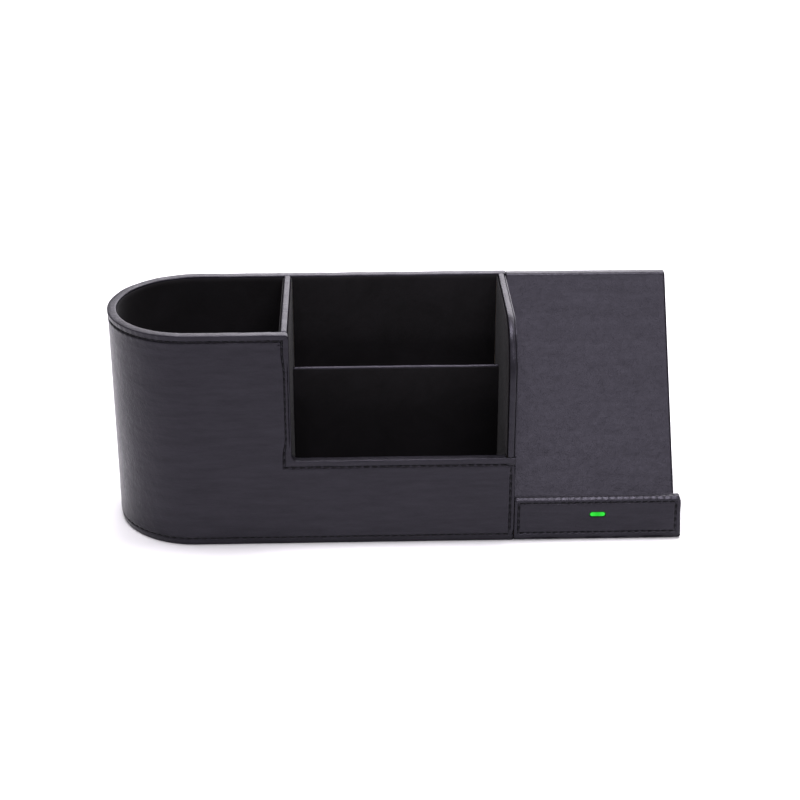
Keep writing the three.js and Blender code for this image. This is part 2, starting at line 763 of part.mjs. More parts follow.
// A coil lead: out of the tray beside the ferrite, over its rim and down to the circuit board.
function coilLead(side) {
  const x = STAND_CENTRE + side * LEAD_SPREAD;
  const onPanel = LEAD_ON_PANEL.map(([depth, rise]) => (
    new THREE.Vector3(x, PANEL_BOARD_FACE + depth, COIL_CENTRE + rise).applyMatrix4(panel.matrix)
  ));
  const below = LEAD_BELOW.map(([across, y, z]) => new THREE.Vector3(STAND_CENTRE + side * across, y, z));
  return wire([...onPanel, ...below], WIRE_RADIUS, WIRE_STEPS);
}

function ledCable() {
  const places = CABLE_PLACES.map(([y, z]) => new THREE.Vector3(STAND_CENTRE, y, z));
  return wire(places, CABLE_RADIUS, CABLE_STEPS);
}

// The cup and the compartment.
addPiece('outer_wall_cover', outerWallCover(), 'leather');
addPiece('front_board', frontBoard(), 'board');
addPiece('bent_end_board', bentEndBoard(), 'board');
addPiece('back_board', backBoard(), 'board');
addPiece('base_board', planSolid(
  floorPlan(SIDE_WALL_LEFT - GAP, LEATHER + GAP + BOARD + GAP),
  BOARD_BOTTOM,
  BASE_TOP,
), 'board');
addPiece('underside_sheet', planSolid(
  floorPlan(SIDE_WALL_RIGHT - SHEET_INSET, SHEET_INSET),
  0,
  SHEET_TOP,
), 'sheet');
addPiece('pen_cup_lining', cupLining(), 'lining');
addPiece('pen_cup_floor', planSolid(
  floorPlan(DIVIDER_LEFT - GAP, WALL + GAP),
  FLOOR_BOTTOM,
  FLOOR_TOP,
), 'lining');

const dividerLow = [DIVIDER_LEFT, FRONT + WALL + GAP, FLOOR_BOTTOM];
const dividerHigh = [DIVIDER_RIGHT, BACK - WALL - GAP, HEIGHT];
addPiece('cup_divider_cover', wrapOf(dividerLow, dividerHigh, 0), 'leather');
addPiece('cup_divider_board', boardWithin(dividerLow, dividerHigh, 0), 'board');

const partitionBack = PARTITION_FRONT + PARTITION_THICKNESS;
const partitionLow = [DIVIDER_RIGHT + GAP, PARTITION_FRONT, FLOOR_BOTTOM];
const partitionHigh = [SIDE_WALL_LEFT - GAP, partitionBack, PARTITION_HEIGHT];
addPiece('card_partition_cover', wrapOf(partitionLow, partitionHigh, 1), 'leather');
addPiece('card_partition_board', boardWithin(partitionLow, partitionHigh, 1), 'board');

addPiece('side_wall_cover', sideWallCover(), 'leather');
addPiece('side_wall_board', sideWallBoard(), 'board');
addPiece('compartment_front_lining', compartmentLining(
  FRONT + WALL - LINING,
  NOTCH_HEIGHT - LEATHER - GAP,
), 'lining');
addPiece('compartment_back_lining', compartmentLining(BACK - WALL, BOARD_TOP), 'lining');
addPiece('front_pocket_floor', box(
  [DIVIDER_RIGHT + GAP, FRONT + WALL + GAP, FLOOR_BOTTOM],
  [SIDE_WALL_LEFT - GAP, PARTITION_FRONT - GAP, FLOOR_TOP],
), 'lining');
addPiece('back_pocket_floor', box(
  [DIVIDER_RIGHT + GAP, partitionBack + GAP, FLOOR_BOTTOM],
  [SIDE_WALL_LEFT - GAP, BACK - WALL - GAP, FLOOR_TOP],
), 'lining');

// The charging stand.
addPiece('ledge_cover', ledgeCover(), 'leather');
addPiece('ledge_lip_board', lipBoard(), 'board');
addPiece('ledge_trough_board', troughBoard(), 'board');
addPiece('panel_cover', panelCover(), 'leather');
addPiece('panel_board', panelBoard(), 'board', panel);
addPiece('stand_end_cover', endCover(), 'leather');
addPiece('stand_back_board', standBackBoard(), 'board');
addPiece('stand_left_board', standSideBoard(STAND_LEFT + GAP), 'board');
addPiece('stand_right_board', standSideBoard(FRAME_RIGHT - SIDE_BOARD), 'board');
addPiece('stand_base_board', standBaseBoard(), 'board');
addPiece('bottom_plate', bottomPlate(), 'plastic');
screwPlaces().forEach(([x, y], i) => {
  addPiece(`plate_screw_${i + 1}`, plateScrew(x, y), 'steel');
});
FOOT_ROWS.forEach((y, row) => {
  [-1, 1].forEach((side, column) => {
    const foot = rod(FOOT_RADIUS, STAND_CENTRE + side * FOOT_X, y, 0, SHEET_TOP);
    addPiece(`stand_foot_${row * 2 + column + 1}`, foot, 'rubber');
  });
});

// The charging electronics.
addPiece('coil_tray', coilTray(), 'plastic', panel);
addPiece('charging_coil', chargingCoil(), 'copper', panel);
addPiece('ferrite_sheet', ferriteSheet(), 'ferrite', panel);
[-1, 1].forEach((side, i) => {
  addPiece(`coil_lead_${i + 1}`, coilLead(side), 'copper');
});
addPiece('main_circuit_board', mainBoard(), 'circuit');
addPiece('charge_controller', boardComponent(...CONTROLLER), 'chip');
addPiece('coil_driver', boardComponent(...COIL_DRIVER), 'chip');
addPiece('power_inductor', boardComponent(...INDUCTOR), 'ferrite');
for (let i = 0; i < CAPACITOR_ROW.count; i += 1) {
  const x = CAPACITOR_ROW.start + i * CAPACITOR_ROW.pitch;
  addPiece(`resonant_capacitor_${i + 1}`, boardComponent(x, CAPACITOR_ROW.depth, ...CAPACITOR), 'chip');
}
addPiece('usb_port_shell', portShell(), 'steel');
addPiece('usb_port_tongue', portTongue(), 'plastic');
addPiece('usb_port_bezel', portBezel(), 'plastic');
const ledBoardTop = TROUGH_BOARD_TOP - LED_BOARD.topGap;
addPiece('led_board', box(
  [STAND_CENTRE - LED_BOARD.halfWidth, LED_BOARD_FRONT, LED_BOARD.bottom],
  [STAND_CENTRE + LED_BOARD.halfWidth, LED_BOARD_FRONT + LED_BOARD.thickness, ledBoardTop],
), 'circuit');
addPiece('status_led', box(
  [STAND_CENTRE - LED.halfWidth, LED_FRONT, LED_Z - LED.halfHeight],
  [STAND_CENTRE + LED.halfWidth, LED_FRONT + LED.thickness, LED_Z + LED.halfHeight],
), 'light');
addPiece('led_light_pipe', lightPipe(), 'light');
addPiece('led_cable', ledCable(), 'copper');

export default organizer;
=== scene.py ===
"""The looks of a leather-covered desk organizer with a wireless charging stand at its right-hand end.

Everything lies in the frame of the CAD part: +Z up, front towards -Y, origin at the middle of the
underside. Shapes are worked out in millimetres from the boxes of the CAD nodes, and mesh_piece()
turns them into metres.
"""

import json
import math

import bmesh
import bpy
import numpy as np
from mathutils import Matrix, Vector, noise
from mathutils.geometry import delaunay_2d_cdt


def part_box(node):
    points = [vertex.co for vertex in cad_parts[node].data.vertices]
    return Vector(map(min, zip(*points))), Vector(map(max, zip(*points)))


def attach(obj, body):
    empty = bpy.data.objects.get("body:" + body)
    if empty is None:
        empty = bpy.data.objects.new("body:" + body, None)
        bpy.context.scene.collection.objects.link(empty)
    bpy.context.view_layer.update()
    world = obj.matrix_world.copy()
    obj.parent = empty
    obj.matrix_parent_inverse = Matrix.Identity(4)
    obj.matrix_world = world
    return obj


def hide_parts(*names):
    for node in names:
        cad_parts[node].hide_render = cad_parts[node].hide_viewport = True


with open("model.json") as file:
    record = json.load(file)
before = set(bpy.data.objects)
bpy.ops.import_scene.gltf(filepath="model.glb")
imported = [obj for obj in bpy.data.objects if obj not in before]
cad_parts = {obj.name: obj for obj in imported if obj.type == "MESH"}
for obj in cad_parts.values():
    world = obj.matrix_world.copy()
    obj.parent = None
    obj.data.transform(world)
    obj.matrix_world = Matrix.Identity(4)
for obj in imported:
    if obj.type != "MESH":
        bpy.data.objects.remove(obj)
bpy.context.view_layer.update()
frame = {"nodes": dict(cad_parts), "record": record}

MM = 0.001


def cad_box(node):
    """The lowest and highest corner of a CAD node in millimetres."""
    low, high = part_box(node)
    return low / MM, high / MM


# Sheets and their edges, in millimetres.
LEATHER = 0.8
STRAP_LEATHER = 0.7
GAP = 0.1
SOLE_GAP = 0.12
FACING = 0.4
FACING_DROP = 0.9
CLOTH_EDGE = 0.18
FLOOR_EDGE = 0.25
LINING_FOOT = 5.0
OUTER_EDGE = 0.4
INNER_EDGE = 0.5
SEAM_EDGE = 0.6
SOLE_EDGE = 0.45
BASE_PULL = 0.55
LEDGE_PULL = 0.45
SHEET_INSET = 1.1

# The cut-out's rounded corners, and where the rim's own mesh meets the rest of the outer leather.
NOTCH_BEND = 3.0
RIM_BEND = 1.8
RIM_LEAN = 0.3
FILL_INSET = 7.0
NOTCH_CREASE = 0.8

# The straps over the divider, the partition and the side wall.
STRAP_GAP = 0.32
STRAP_EDGE = 0.6
STRAP_CROWN = 0.03
STRAP_REACH = 9.0
PARTITION_GAP = 0.12
PARTITION_EDGE = 0.3
PARTITION_CROWN = 0.37
SIDE_CROWN = 0.16
SIDE_BEND = 25.0
SIDE_SHEET = 0.6
SIDE_SHEET_GAP = 0.05
SIDE_STRAP_GAP = 0.17

# The stand: its rounded edges and the slanted lip of its ledge (depth, height).
PANEL_TOP_DEPTH = 5.0
PANEL_TOP_BEND = 2.2
BACK_TOP_BEND = 1.4
STAND_EDGE = 1.1
LIP_CHAMFER = (1.7, 0.95)
LEDGE_FLARE = 0.7

# Stitch rows: their distances from the edges, their grooves and their stitches.
ROW_INSET = 3.15
NOTCH_ROW = 3.6
NOTCH_SIDE_ROW = 2.4
BOTTOM_ROW = 3.6
END_ROW = 2.1
STAND_ROW = 2.7
LEDGE_ROWS = {"top": 20.0, "bottom": 4.0, "left": 2.1, "right": 2.6}
GROOVE_DEPTH = 0.62
GROOVE_WIDTH = 0.52
GROOVE_SWELL = 0.1
ROW_END = 0.8
PITCH = 3.8
LEDGE_PITCH = 3.3
STITCH_SHARE = 0.78
STITCH_LIFT = 0.04
RIM_STITCH_LIFT = 0.1
THREAD_RADIUS = 0.27
PUCKER = 0.075
LEDGE_PUCKER = 0.14

# The studio: a faint lilac light, and the place that every lamp faces, in metres.
LAMP_COLOUR = (0.97, 0.93, 1.0)
LAMP_TARGET = (0.0, 0.0, 0.05)

# The organizer's own outline, taken from the CAD nodes.
wall_low, wall_high = cad_box("outer_wall_cover")
divider_low, divider_high = cad_box("cup_divider_cover")
side_low, side_high = cad_box("side_wall_cover")
front_lining_low, front_lining_high = cad_box("compartment_front_lining")
ledge_low, ledge_high = cad_box("ledge_cover")
lip_board_high = cad_box("ledge_lip_board")[1]
trough_board_high = cad_box("ledge_trough_board")[1]
panel_low, panel_high = cad_box("panel_cover")
end_low, end_high = cad_box("stand_end_cover")
light_low, light_high = cad_box("led_light_pipe")
bezel_low, bezel_high = cad_box("usb_port_bezel")

FRONT = wall_low.y
BACK = wall_high.y
TOP = wall_high.z
SEAM = wall_high.x
RADIUS = (BACK - FRONT) / 2
END_CENTRE = wall_low.x + RADIUS
STRAIGHT = SEAM - END_CENTRE
ARC = math.pi * RADIUS
PATH = 2 * STRAIGHT + ARC
WALL = front_lining_high.y - FRONT
NOTCH_TOP = front_lining_high.z + LEATHER + GAP
NOTCH_LEFT = SEAM - divider_high.x
SIDE_WALL = SEAM - side_low.x
LIP_BACK = lip_board_high.y + LEATHER + GAP
TROUGH = trough_board_high.z + LEATHER + GAP

# The rectangles of stitching on the ledge's front and the stand's back: left, right, bottom, top.
LEDGE_FRAME = (
    ledge_low.x + LEDGE_ROWS["left"], ledge_high.x - LEDGE_ROWS["right"],
    LEDGE_ROWS["bottom"], LEDGE_ROWS["top"],
)
STAND_FRAME = (panel_low.x + STAND_ROW, panel_high.x - STAND_ROW, BOTTOM_ROW, panel_high.z - STAND_ROW)


# Helpers for paths and meshes.
def rounded_path(corners, radii, steps, arc_steps=6):
    """A path through 2-D corners with round bends, whose material lies on its right-hand side.

    Returns, for each point: the place, the direction into the material, how far it may move inwards
    before a convex bend has shrunk to a corner, the direction that it takes from there, and how much
    further a point on a concave bend moves, as (share, radius), so that the bend turns square.
    """
    corners = [np.array(c, float) for c in corners]
    ways = [b - a for a, b in zip(corners, corners[1:])]
    ways = [w / np.linalg.norm(w) for w in ways]
    rights = [np.array((w[1], -w[0])) for w in ways]
    cuts, bends = [0.0], []
    for i, radius in enumerate(radii):
        half_turn = math.acos(max(-1.0, min(1.0, float(ways[i] @ ways[i + 1])))) / 2
        cuts.append(radius * math.tan(half_turn))
        convex = float(ways[i + 1] @ rights[i]) > 0
        mitre = (rights[i] + rights[i + 1]) / (1 + float(rights[i] @ rights[i + 1]))
        bends.append((convex, math.tan(half_turn), mitre))
    cuts.append(0.0)
    rows = []
    for i, way in enumerate(ways):
        start = corners[i] + way * cuts[i]
        end = corners[i + 1] - way * cuts[i + 1]
        length = float(np.linalg.norm(end - start))
        count = max(1, round(length / steps[i]))
        for k in range(count + 1):
            spot = start + way * length * k / count
            limit, turned = np.inf, (0.0, 0.0)
            for corner in (i - 1, i):
                if 0 <= corner < len(bends) and bends[corner][0]:
                    reach = float(np.linalg.norm(spot - corners[corner + 1])) / bends[corner][1]
                    if reach < limit:
                        limit, turned = reach, bends[corner][2]
            rows.append((spot, rights[i], limit, turned, (0.0, 0.0)))
        if i == len(ways) - 1:
            break
        radius = radii[i]
        convex, _, mitre = bends[i]
        centre = end + rights[i] * (radius if convex else -radius)
        first = math.atan2(rights[i][1], rights[i][0])
        turn = math.atan2(rights[i + 1][1], rights[i + 1][0]) - first
        turn = (turn + math.pi) % (2 * math.pi) - math.pi
        for k in range(1, arc_steps):
            angle = first + turn * k / arc_steps
            direction = np.array((math.cos(angle), math.sin(angle)))
            if convex:
                rows.append((centre - direction * radius, direction, radius, mitre, (0.0, 0.0)))
            else:
                share = 1 / math.cos(abs(turn) * min(k, arc_steps - k) / arc_steps) - 1
                spot = centre + direction * radius
                rows.append((spot, direction, np.inf, (0.0, 0.0), (share, radius)))
    return [np.array(column) for column in zip(*rows)]


def move_in(path, distance):
    """The path's points moved into the material; distance is one number or one per point."""
    points, inward, limits, mitres, squares = path
    distance = np.broadcast_to(np.asarray(distance, float), limits.shape)
    near = np.minimum(distance, limits)
    moved = near + (squares[:, 1] + near) * squares[:, 0] * smooth_step(0.4, 2.2, near)
    return points + inward * moved[:, None] + mitres * (distance - near)[:, None]


def lengths_along(points):
    """How far along a polyline each of its points lies."""
    steps = np.linalg.norm(np.diff(points, axis=0), axis=1)
    return np.concatenate([[0.0], np.cumsum(steps)])


def ripple(value, seed, scale):
    """A smooth random number between about -1 and 1 that varies along a line."""
    return noise.noise(Vector((value / scale, seed * 7.31, seed * 3.17)))


def ripples(values, seed, scale):
    """ripple() for an array."""
    return np.array([ripple(v, seed, scale) for v in np.ravel(values)]).reshape(np.shape(values))


def hump(distance, width):
    """One in the middle, falling softly to zero on both sides."""
    return np.exp(-((distance / width) ** 2))


def groove(distance, width=GROOVE_WIDTH):
    """One across the bottom of a stitched groove with steep sides, zero outside it."""
    return np.exp(-((distance / width) ** 4))


def smooth_step(low, high, value):
    """Zero at low, one at high, with a soft start and end; low may be the larger one."""
    share = np.clip((np.asarray(value, float) - low) / (high - low), 0, 1)
    return share * share * (3 - 2 * share)


def between(low, high, value):
    """One between two stitch rows, zero outside them."""
    return smooth_step(low - ROW_END, low - 0.2, value) * smooth_step(high + ROW_END, high + 0.2, value)


def edge_round(distance, radius):
    """How far a surface drops at a distance from its rounded edge."""
    near = np.clip(radius - np.asarray(distance, float), 0, radius)
    return radius - np.sqrt(radius**2 - near**2)


def grid_faces(rows, columns, closed=False):
    """Quads between the points of a grid that is stored row by row."""
    faces = []
    last = columns if closed else columns - 1
    for i in range(rows - 1):
        for j in range(last):
            k = (j + 1) % columns
            faces.append((i * columns + j, i * columns + k, (i + 1) * columns + k, (i + 1) * columns + j))
    return faces


def mesh_piece(name, points, faces, material, outward=None, sharp=40):
    """A mesh object from points in millimetres.

    outward is a point and the direction that the surface faces there; without it the mesh is closed
    and faces outwards anyway.
    """
    bm = bmesh.new()
    for point in np.asarray(points, float) * MM:
        bm.verts.new(point)
    bm.verts.ensure_lookup_table()
    for face in faces:
        if len(set(face)) > 2:
            bm.faces.new([bm.verts[i] for i in face])
    bmesh.ops.remove_doubles(bm, verts=bm.verts, dist=1e-6)
    bmesh.ops.dissolve_degenerate(bm, edges=bm.edges, dist=1e-7)
    bmesh.ops.recalc_face_normals(bm, faces=bm.faces)
    if outward is not None:
        place, direction = Vector(outward[0]) * MM, Vector(outward[1])
        nearest = min(bm.faces, key=lambda f: (f.calc_center_median() - place).length)
        if nearest.normal.dot(direction) < 0:
            bmesh.ops.reverse_faces(bm, faces=bm.faces)
    mesh = bpy.data.meshes.new(name)
    bm.to_mesh(mesh)
    bm.free()
    mesh.materials.append(material)
    piece = bpy.data.objects.new(name, mesh)
    bpy.context.scene.collection.objects.link(piece)
    smooth(piece, sharp)
    return piece


def smooth(piece, sharp):
    """Smooth shading, apart from edges sharper than an angle in degrees."""
    piece.data.polygons.foreach_set("use_smooth", [True] * len(piece.data.polygons))
    piece.data.set_sharp_from_angle(angle=math.radians(sharp))


def apply_modifiers(piece):
    """Bakes the piece's modifiers into its mesh."""
    graph = bpy.context.evaluated_depsgraph_get()
    mesh = bpy.data.meshes.new_from_object(piece.evaluated_get(graph))
    piece.modifiers.clear()
    piece.data = mesh


def thicken(piece, thickness=LEATHER):
    """Gives an open sheet its thickness, inwards."""
    solid = piece.modifiers.new("thickness", "SOLIDIFY")
    solid.thickness = thickness * MM
    solid.offset = -1
    solid.use_even_offset = False
    apply_modifiers(piece)


def cut(piece, cutter):
    """Takes the cutter's shape out of the piece and removes the cutter."""
    hole = piece.modifiers.new("hole", "BOOLEAN")
    hole.operation = "DIFFERENCE"
    hole.solver = "EXACT"
    hole.object = cutter
    apply_modifiers(piece)
    bpy.data.objects.remove(cutter)


def belongs(piece, slot, *nodes):
    """The piece rides with the whole part and stands for CAD nodes, which it hides; slot is not used."""
    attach(piece, "root")
    if nodes:
        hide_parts(*nodes)
    return piece


def across_x(spots, level):
    """Points (y, z) on a plane across X."""
    return np.stack([np.full(len(spots), level), spots[:, 0], spots[:, 1]], axis=1)


def across_y(spots, level):
    """Points (x, z) on a plane across Y."""
    return np.stack([spots[:, 0], np.full(len(spots), level), spots[:, 1]], axis=1)


def across_z(spots, level):
    """Points (x, y) on a plane across Z."""
    return np.stack([spots[:, 0], spots[:, 1], np.full(len(spots), level)], axis=1)


def rectangle(left, bottom, right, top):
    """A rectangular outline, anticlockwise."""
    return np.array([(left, bottom), (right, bottom), (right, top), (left, top)])


def round_end_outline(reach, right, steps):
    """A floor's outline: a half circle round the cup's end, and a straight end on the right."""
    angles = np.linspace(math.pi / 2, 1.5 * math.pi, steps + 1)
    bend = np.stack([END_CENTRE + reach * np.cos(angles), reach * np.sin(angles)], axis=1)
    return np.concatenate([bend, np.array([(right, -reach), (right, reach)])])


def inset_outline(outline, amount):
    """A closed outline, walked anticlockwise, moved inwards."""
    before = outline - np.roll(outline, 1, axis=0)
    after = np.roll(outline, -1, axis=0) - outline
    lefts = []
    for way in (before, after):
        way = way / np.maximum(np.linalg.norm(way, axis=1), 1e-9)[:, None]
        lefts.append(np.stack([-way[:, 1], way[:, 0]], axis=1))
    dots = (lefts[0] * lefts[1]).sum(axis=1)
    return outline + (lefts[0] + lefts[1]) / (1 + np.maximum(dots, -0.3))[:, None] * amount


def pill_outline(width, height, x, z, steps=12):
    """A slot shape with round ends, anticlockwise."""
    radius = height / 2
    reach = width / 2 - radius
    angles = np.linspace(-math.pi / 2, math.pi / 2, steps + 1)
    right = np.stack([x + reach + radius * np.cos(angles), z + radius * np.sin(angles)], axis=1)
    left = np.stack([x - reach - radius * np.cos(angles), z - radius * np.sin(angles)], axis=1)
    return np.concatenate([right, left])


def closed_sweep(name, stations, material):
    """A solid through stations, which are closed loops of equally many 3-D points."""
    count = len(stations[0])
    last = (len(stations) - 1) * count
    faces = grid_faces(len(stations), count, closed=True)
    faces += [tuple(range(count)), tuple(range(last, last + count))]
    return mesh_piece(name, np.concatenate(stations), faces, material)


def slab(name, outline, place, low, high, radius, material):
    """A flat piece with rounded edges; place(points, level) puts its 2-D points into the frame."""
    turns = [math.radians(angle) for angle in (0, 30, 60, 90)]
    rings = [(low + radius * (1 - math.cos(turn)), radius * (1 - math.sin(turn))) for turn in turns]
    rings += [(high - (level - low), moved) for level, moved in reversed(rings)]
    stations = [place(inset_outline(outline, moved), level) for level, moved in rings]
    return closed_sweep(name, stations, material)


def pill_cutter(low, high, face):
    """A slot through a front or back face, a little larger than the box of what sits in it."""
    middle = (low + high) / 2
    size = high - low
    outline = pill_outline(size.x + 2 * GAP, size.z + 2 * GAP, middle.x, middle.z)
    return closed_sweep("cutter", [across_y(outline, face - 2), across_y(outline, face + 2)], LEATHER_LOOK)


def sweep(name, stations, material, outward, end=None):
    """An open sheet through stations, which are equally long lists of 3-D points.

    end holds extra points that close the last station to a loop, which is then filled.
    """
    count = len(stations[0])
    points = np.concatenate(stations)
    faces = grid_faces(len(stations), count)
    if end is not None:
        faces.append(tuple(range(len(points) - count, len(points) + len(end))))
        points = np.concatenate([points, end])
    return mesh_piece(name, points, faces, material, outward)


def stitch_row(name, line, place, pitch, seed):
    """Separate stitches along a line on a sheet; place(points, height) puts them into the frame."""
    along = lengths_along(line)
    count = max(1, round(along[-1] / pitch))
    spacing = along[-1] / count
    shares = np.array([-1.0, -0.86, -0.6, 0.0, 0.6, 0.86, 1.0])
    heights = THREAD_RADIUS * (1.0 - 2.6 * shares**4)
    widths = THREAD_RADIUS * np.array([0.55, 0.85, 1.0, 1.05, 1.0, 0.85, 0.55])
    sides = 8
    angles = np.linspace(0, 2 * math.pi, sides, endpoint=False)
    rings, faces = [], []
    for k in range(count):
        middle = (k + 0.5) * spacing + 0.08 * ripple(k * 5.0, seed, 3.0)
        half = spacing * STITCH_SHARE / 2 * (1 + 0.08 * ripple(k * 3.0, seed + 1, 2.0))
        where = middle + shares * half
        centres = np.stack([np.interp(where, along, line[:, i]) for i in range(2)], axis=1)
        ways = np.gradient(centres, axis=0)
        ways = ways / np.linalg.norm(ways, axis=1)[:, None]
        across = np.stack([-ways[:, 1], ways[:, 0]], axis=1)
        slant = 0.1 * (1 + 0.5 * ripple(k * 4.0, seed + 2, 2.0))
        centres = centres + across * (shares * slant)[:, None]
        first = len(rings) * sides
        last = first + (len(shares) - 1) * sides
        for centre, side, height, width in zip(centres, across, heights, widths):
            ring = centre + np.outer(width * np.cos(angles), side)
            rings.append(np.column_stack([ring, height + width * np.sin(angles)]))
        faces += [tuple(first + i for i in face) for face in grid_faces(len(shares), sides, closed=True)]
        faces += [tuple(range(first, first + sides)), tuple(range(last, last + sides))]
    points = np.concatenate(rings)
    row = mesh_piece(name, place(points[:, :2], points[:, 2]), faces, THREAD_LOOK, sharp=60)
    belongs(row, "thread")


def stitch_frame(name, frame_edges, shorter, place, pitch, seed):
    """Four stitch rows round a rectangle; the upright ones are a little shorter at both ends."""
    left, right, bottom, top = frame_edges
    for side, first, last in (
        ("top", (left, top), (right, top)),
        ("bottom", (left, bottom), (right, bottom)),
        ("left", (left, bottom + shorter), (left, top - shorter)),
        ("right", (right, bottom + shorter), (right, top - shorter)),
    ):
        stitch_row(f"{name}_{side}_stitches", np.linspace(first, last, 100), place, pitch, seed)


def framed_groove(x, z, frame_edges, level, upright):
    """The groove round a rectangle of stitching, with the depths of its level and upright rows."""
    left, right, bottom, top = frame_edges
    level_rows = between(left, right, x) * level * np.maximum(groove(z - bottom), groove(z - top))
    upright_rows = between(bottom, top, z) * upright * np.maximum(groove(x - left), groove(x - right))
    return np.maximum(level_rows, upright_rows)


# Materials.
def new_material(name):
    """A material with nodes, whose shader is still plain."""
    made = bpy.data.materials.new(name)
    made.use_nodes = True
    return made


def add_node(material, kind, **settings):
    """A shader node; settings name its properties or, with a leading input_, its inputs."""
    made = material.node_tree.nodes.new(kind)
    for key, value in settings.items():
        if key.startswith("input_"):
            made.inputs[key[6:].replace("_", " ")].default_value = value
        else:
            setattr(made, key, value)
    return made


def link(material, output, target):
    """Joins a node's output to another node's input."""
    material.node_tree.links.new(output, target)


def shader_of(material):
    return material.node_tree.nodes["Principled BSDF"]


def object_coordinates(material):
    return add_node(material, "ShaderNodeTexCoord").outputs["Object"]


def noise_of(material, scale, detail=3.0, roughness=0.55, distortion=0.0, squeeze=(1.0, 1.0, 1.0)):
    """Smooth noise from 0 to 1; squeeze packs it closer together along each axis."""
    made = add_node(material, "ShaderNodeTexNoise", input_Scale=scale, input_Detail=detail)
    made.inputs["Roughness"].default_value = roughness
    made.inputs["Distortion"].default_value = distortion
    squeezed = add_node(material, "ShaderNodeMapping", input_Scale=squeeze)
    link(material, object_coordinates(material), squeezed.inputs["Vector"])
    link(material, squeezed.outputs["Vector"], made.inputs["Vector"])
    return made.outputs["Fac"]


def ramp(material, source, stops):
    """A colour ramp whose stops are (place, colour); a number stands for a grey."""
    made = add_node(material, "ShaderNodeValToRGB")
    elements = made.color_ramp.elements
    while len(elements) < len(stops):
        elements.new(0.5)
    for element, (place, colour) in zip(elements, stops):
        element.position = place
        element.color = (colour, colour, colour, 1) if isinstance(colour, float) else (*colour, 1)
    link(material, source, made.inputs["Fac"])
    return made.outputs["Color"]


def spread(material, source, low, high):
    """A value from 0 to 1 taken to a range."""
    made = add_node(material, "ShaderNodeMapRange")
    made.inputs["To Min"].default_value = low
    made.inputs["To Max"].default_value = high
    link(material, source, made.inputs["Value"])
    return made.outputs["Result"]


def bump(material, height, distance, strength=1.0, below=None):
    """A normal from a height, on top of the normal below."""
    made = add_node(material, "ShaderNodeBump")
    made.inputs["Strength"].default_value = strength
    made.inputs["Distance"].default_value = distance
    link(material, height, made.inputs["Height"])
    if below is not None:
        link(material, below, made.inputs["Normal"])
    return made.outputs["Normal"]


def set_inputs(material, **values):
    """Plain values for inputs of the material's shader."""
    shader = shader_of(material)
    for key, value in values.items():
        shader.inputs[key.replace("_", " ")].default_value = value


def finish_material(material, colour, roughness, normal):
    """Links the three outputs that give a material its finish."""
    shader = shader_of(material)
    link(material, colour, shader.inputs["Base Color"])
    link(material, roughness, shader.inputs["Roughness"])
    link(material, normal, shader.inputs["Normal"])
    return material


def leather_material():
    """Fine-grained black artificial leather: faint level streaks, small cells, uneven gloss."""
    made = new_material("leather")
    streaks = noise_of(made, 170.0, detail=7.0, roughness=0.68, squeeze=(0.28, 0.28, 1.9))
    tone = ramp(made, streaks, [(0.3, (0.005, 0.0046, 0.0061)), (0.7, (0.0128, 0.012, 0.0153))])
    gloss = spread(made, noise_of(made, 300.0, detail=5.0), 0.24, 0.44)
    cells = add_node(made, "ShaderNodeTexVoronoi", feature="SMOOTH_F1", input_Scale=1500.0)
    link(made, object_coordinates(made), cells.inputs["Vector"])
    creases = noise_of(made, 520.0, detail=6.0, roughness=0.65, distortion=0.4)
    coarse = noise_of(made, 90.0, detail=2.0)
    grain = bump(made, cells.outputs["Distance"], 0.0001, 0.6)
    creased = bump(made, creases, 0.00026, 0.7, grain)
    set_inputs(made, IOR=1.32, Specular_Tint=(0.87, 0.83, 1.0, 1))
    return finish_material(made, tone, gloss, bump(made, coarse, 0.001, 0.35, creased))


def thread_material():
    """Black sewing thread with its twist."""
    made = new_material("thread")
    wave = add_node(made, "ShaderNodeTexWave", input_Scale=620.0, input_Distortion=1.5)
    wave.bands_direction = "DIAGONAL"
    link(made, object_coordinates(made), wave.inputs["Vector"])
    twist = wave.outputs["Fac"]
    tone = ramp(made, twist, [(0.0, (0.003, 0.003, 0.004)), (1.0, (0.01, 0.0095, 0.012))])
    set_inputs(made, Specular_IOR_Level=0.2)
    return finish_material(made, tone, spread(made, twist, 0.75, 0.6), bump(made, twist, 0.00008, 0.7))


def lining_material():
    """Black short-napped lining cloth."""
    made = new_material("lining")
    nap = noise_of(made, 2600.0, detail=2.0)
    brushed = noise_of(made, 60.0, detail=4.0, distortion=0.8)
    tone = ramp(made, brushed, [(0.3, (0.003, 0.0024, 0.003)), (0.75, (0.0064, 0.0054, 0.0066))])
    set_inputs(made, Specular_IOR_Level=0.22, Sheen_Weight=0.024, Sheen_Roughness=0.35)
    return finish_material(made, tone, spread(made, nap, 0.8, 0.95), bump(made, nap, 0.00015, 0.6))


def felt_material():
    """Black non-slip felt of the underside."""
    made = new_material("underside_felt")
    fibres = noise_of(made, 900.0, detail=6.0, roughness=0.7, distortion=1.2)
    tone = ramp(made, fibres, [(0.35, (0.008, 0.008, 0.0085)), (0.7, (0.03, 0.03, 0.032))])
    set_inputs(made, Specular_IOR_Level=0.2, Sheen_Weight=0.2)
    return finish_material(made, tone, spread(made, fibres, 0.8, 1.0), bump(made, fibres, 0.0004, 0.8))


def board_material():
    """Pressed fibreboard."""
    made = new_material("fibreboard")
    fibres = noise_of(made, 700.0, detail=8.0, roughness=0.7, distortion=2.0)
    tone = ramp(made, fibres, [(0.3, (0.16, 0.105, 0.062)), (0.7, (0.36, 0.26, 0.17))])
    return finish_material(made, tone, spread(made, fibres, 0.75, 0.95), bump(made, fibres, 0.0002, 0.6))


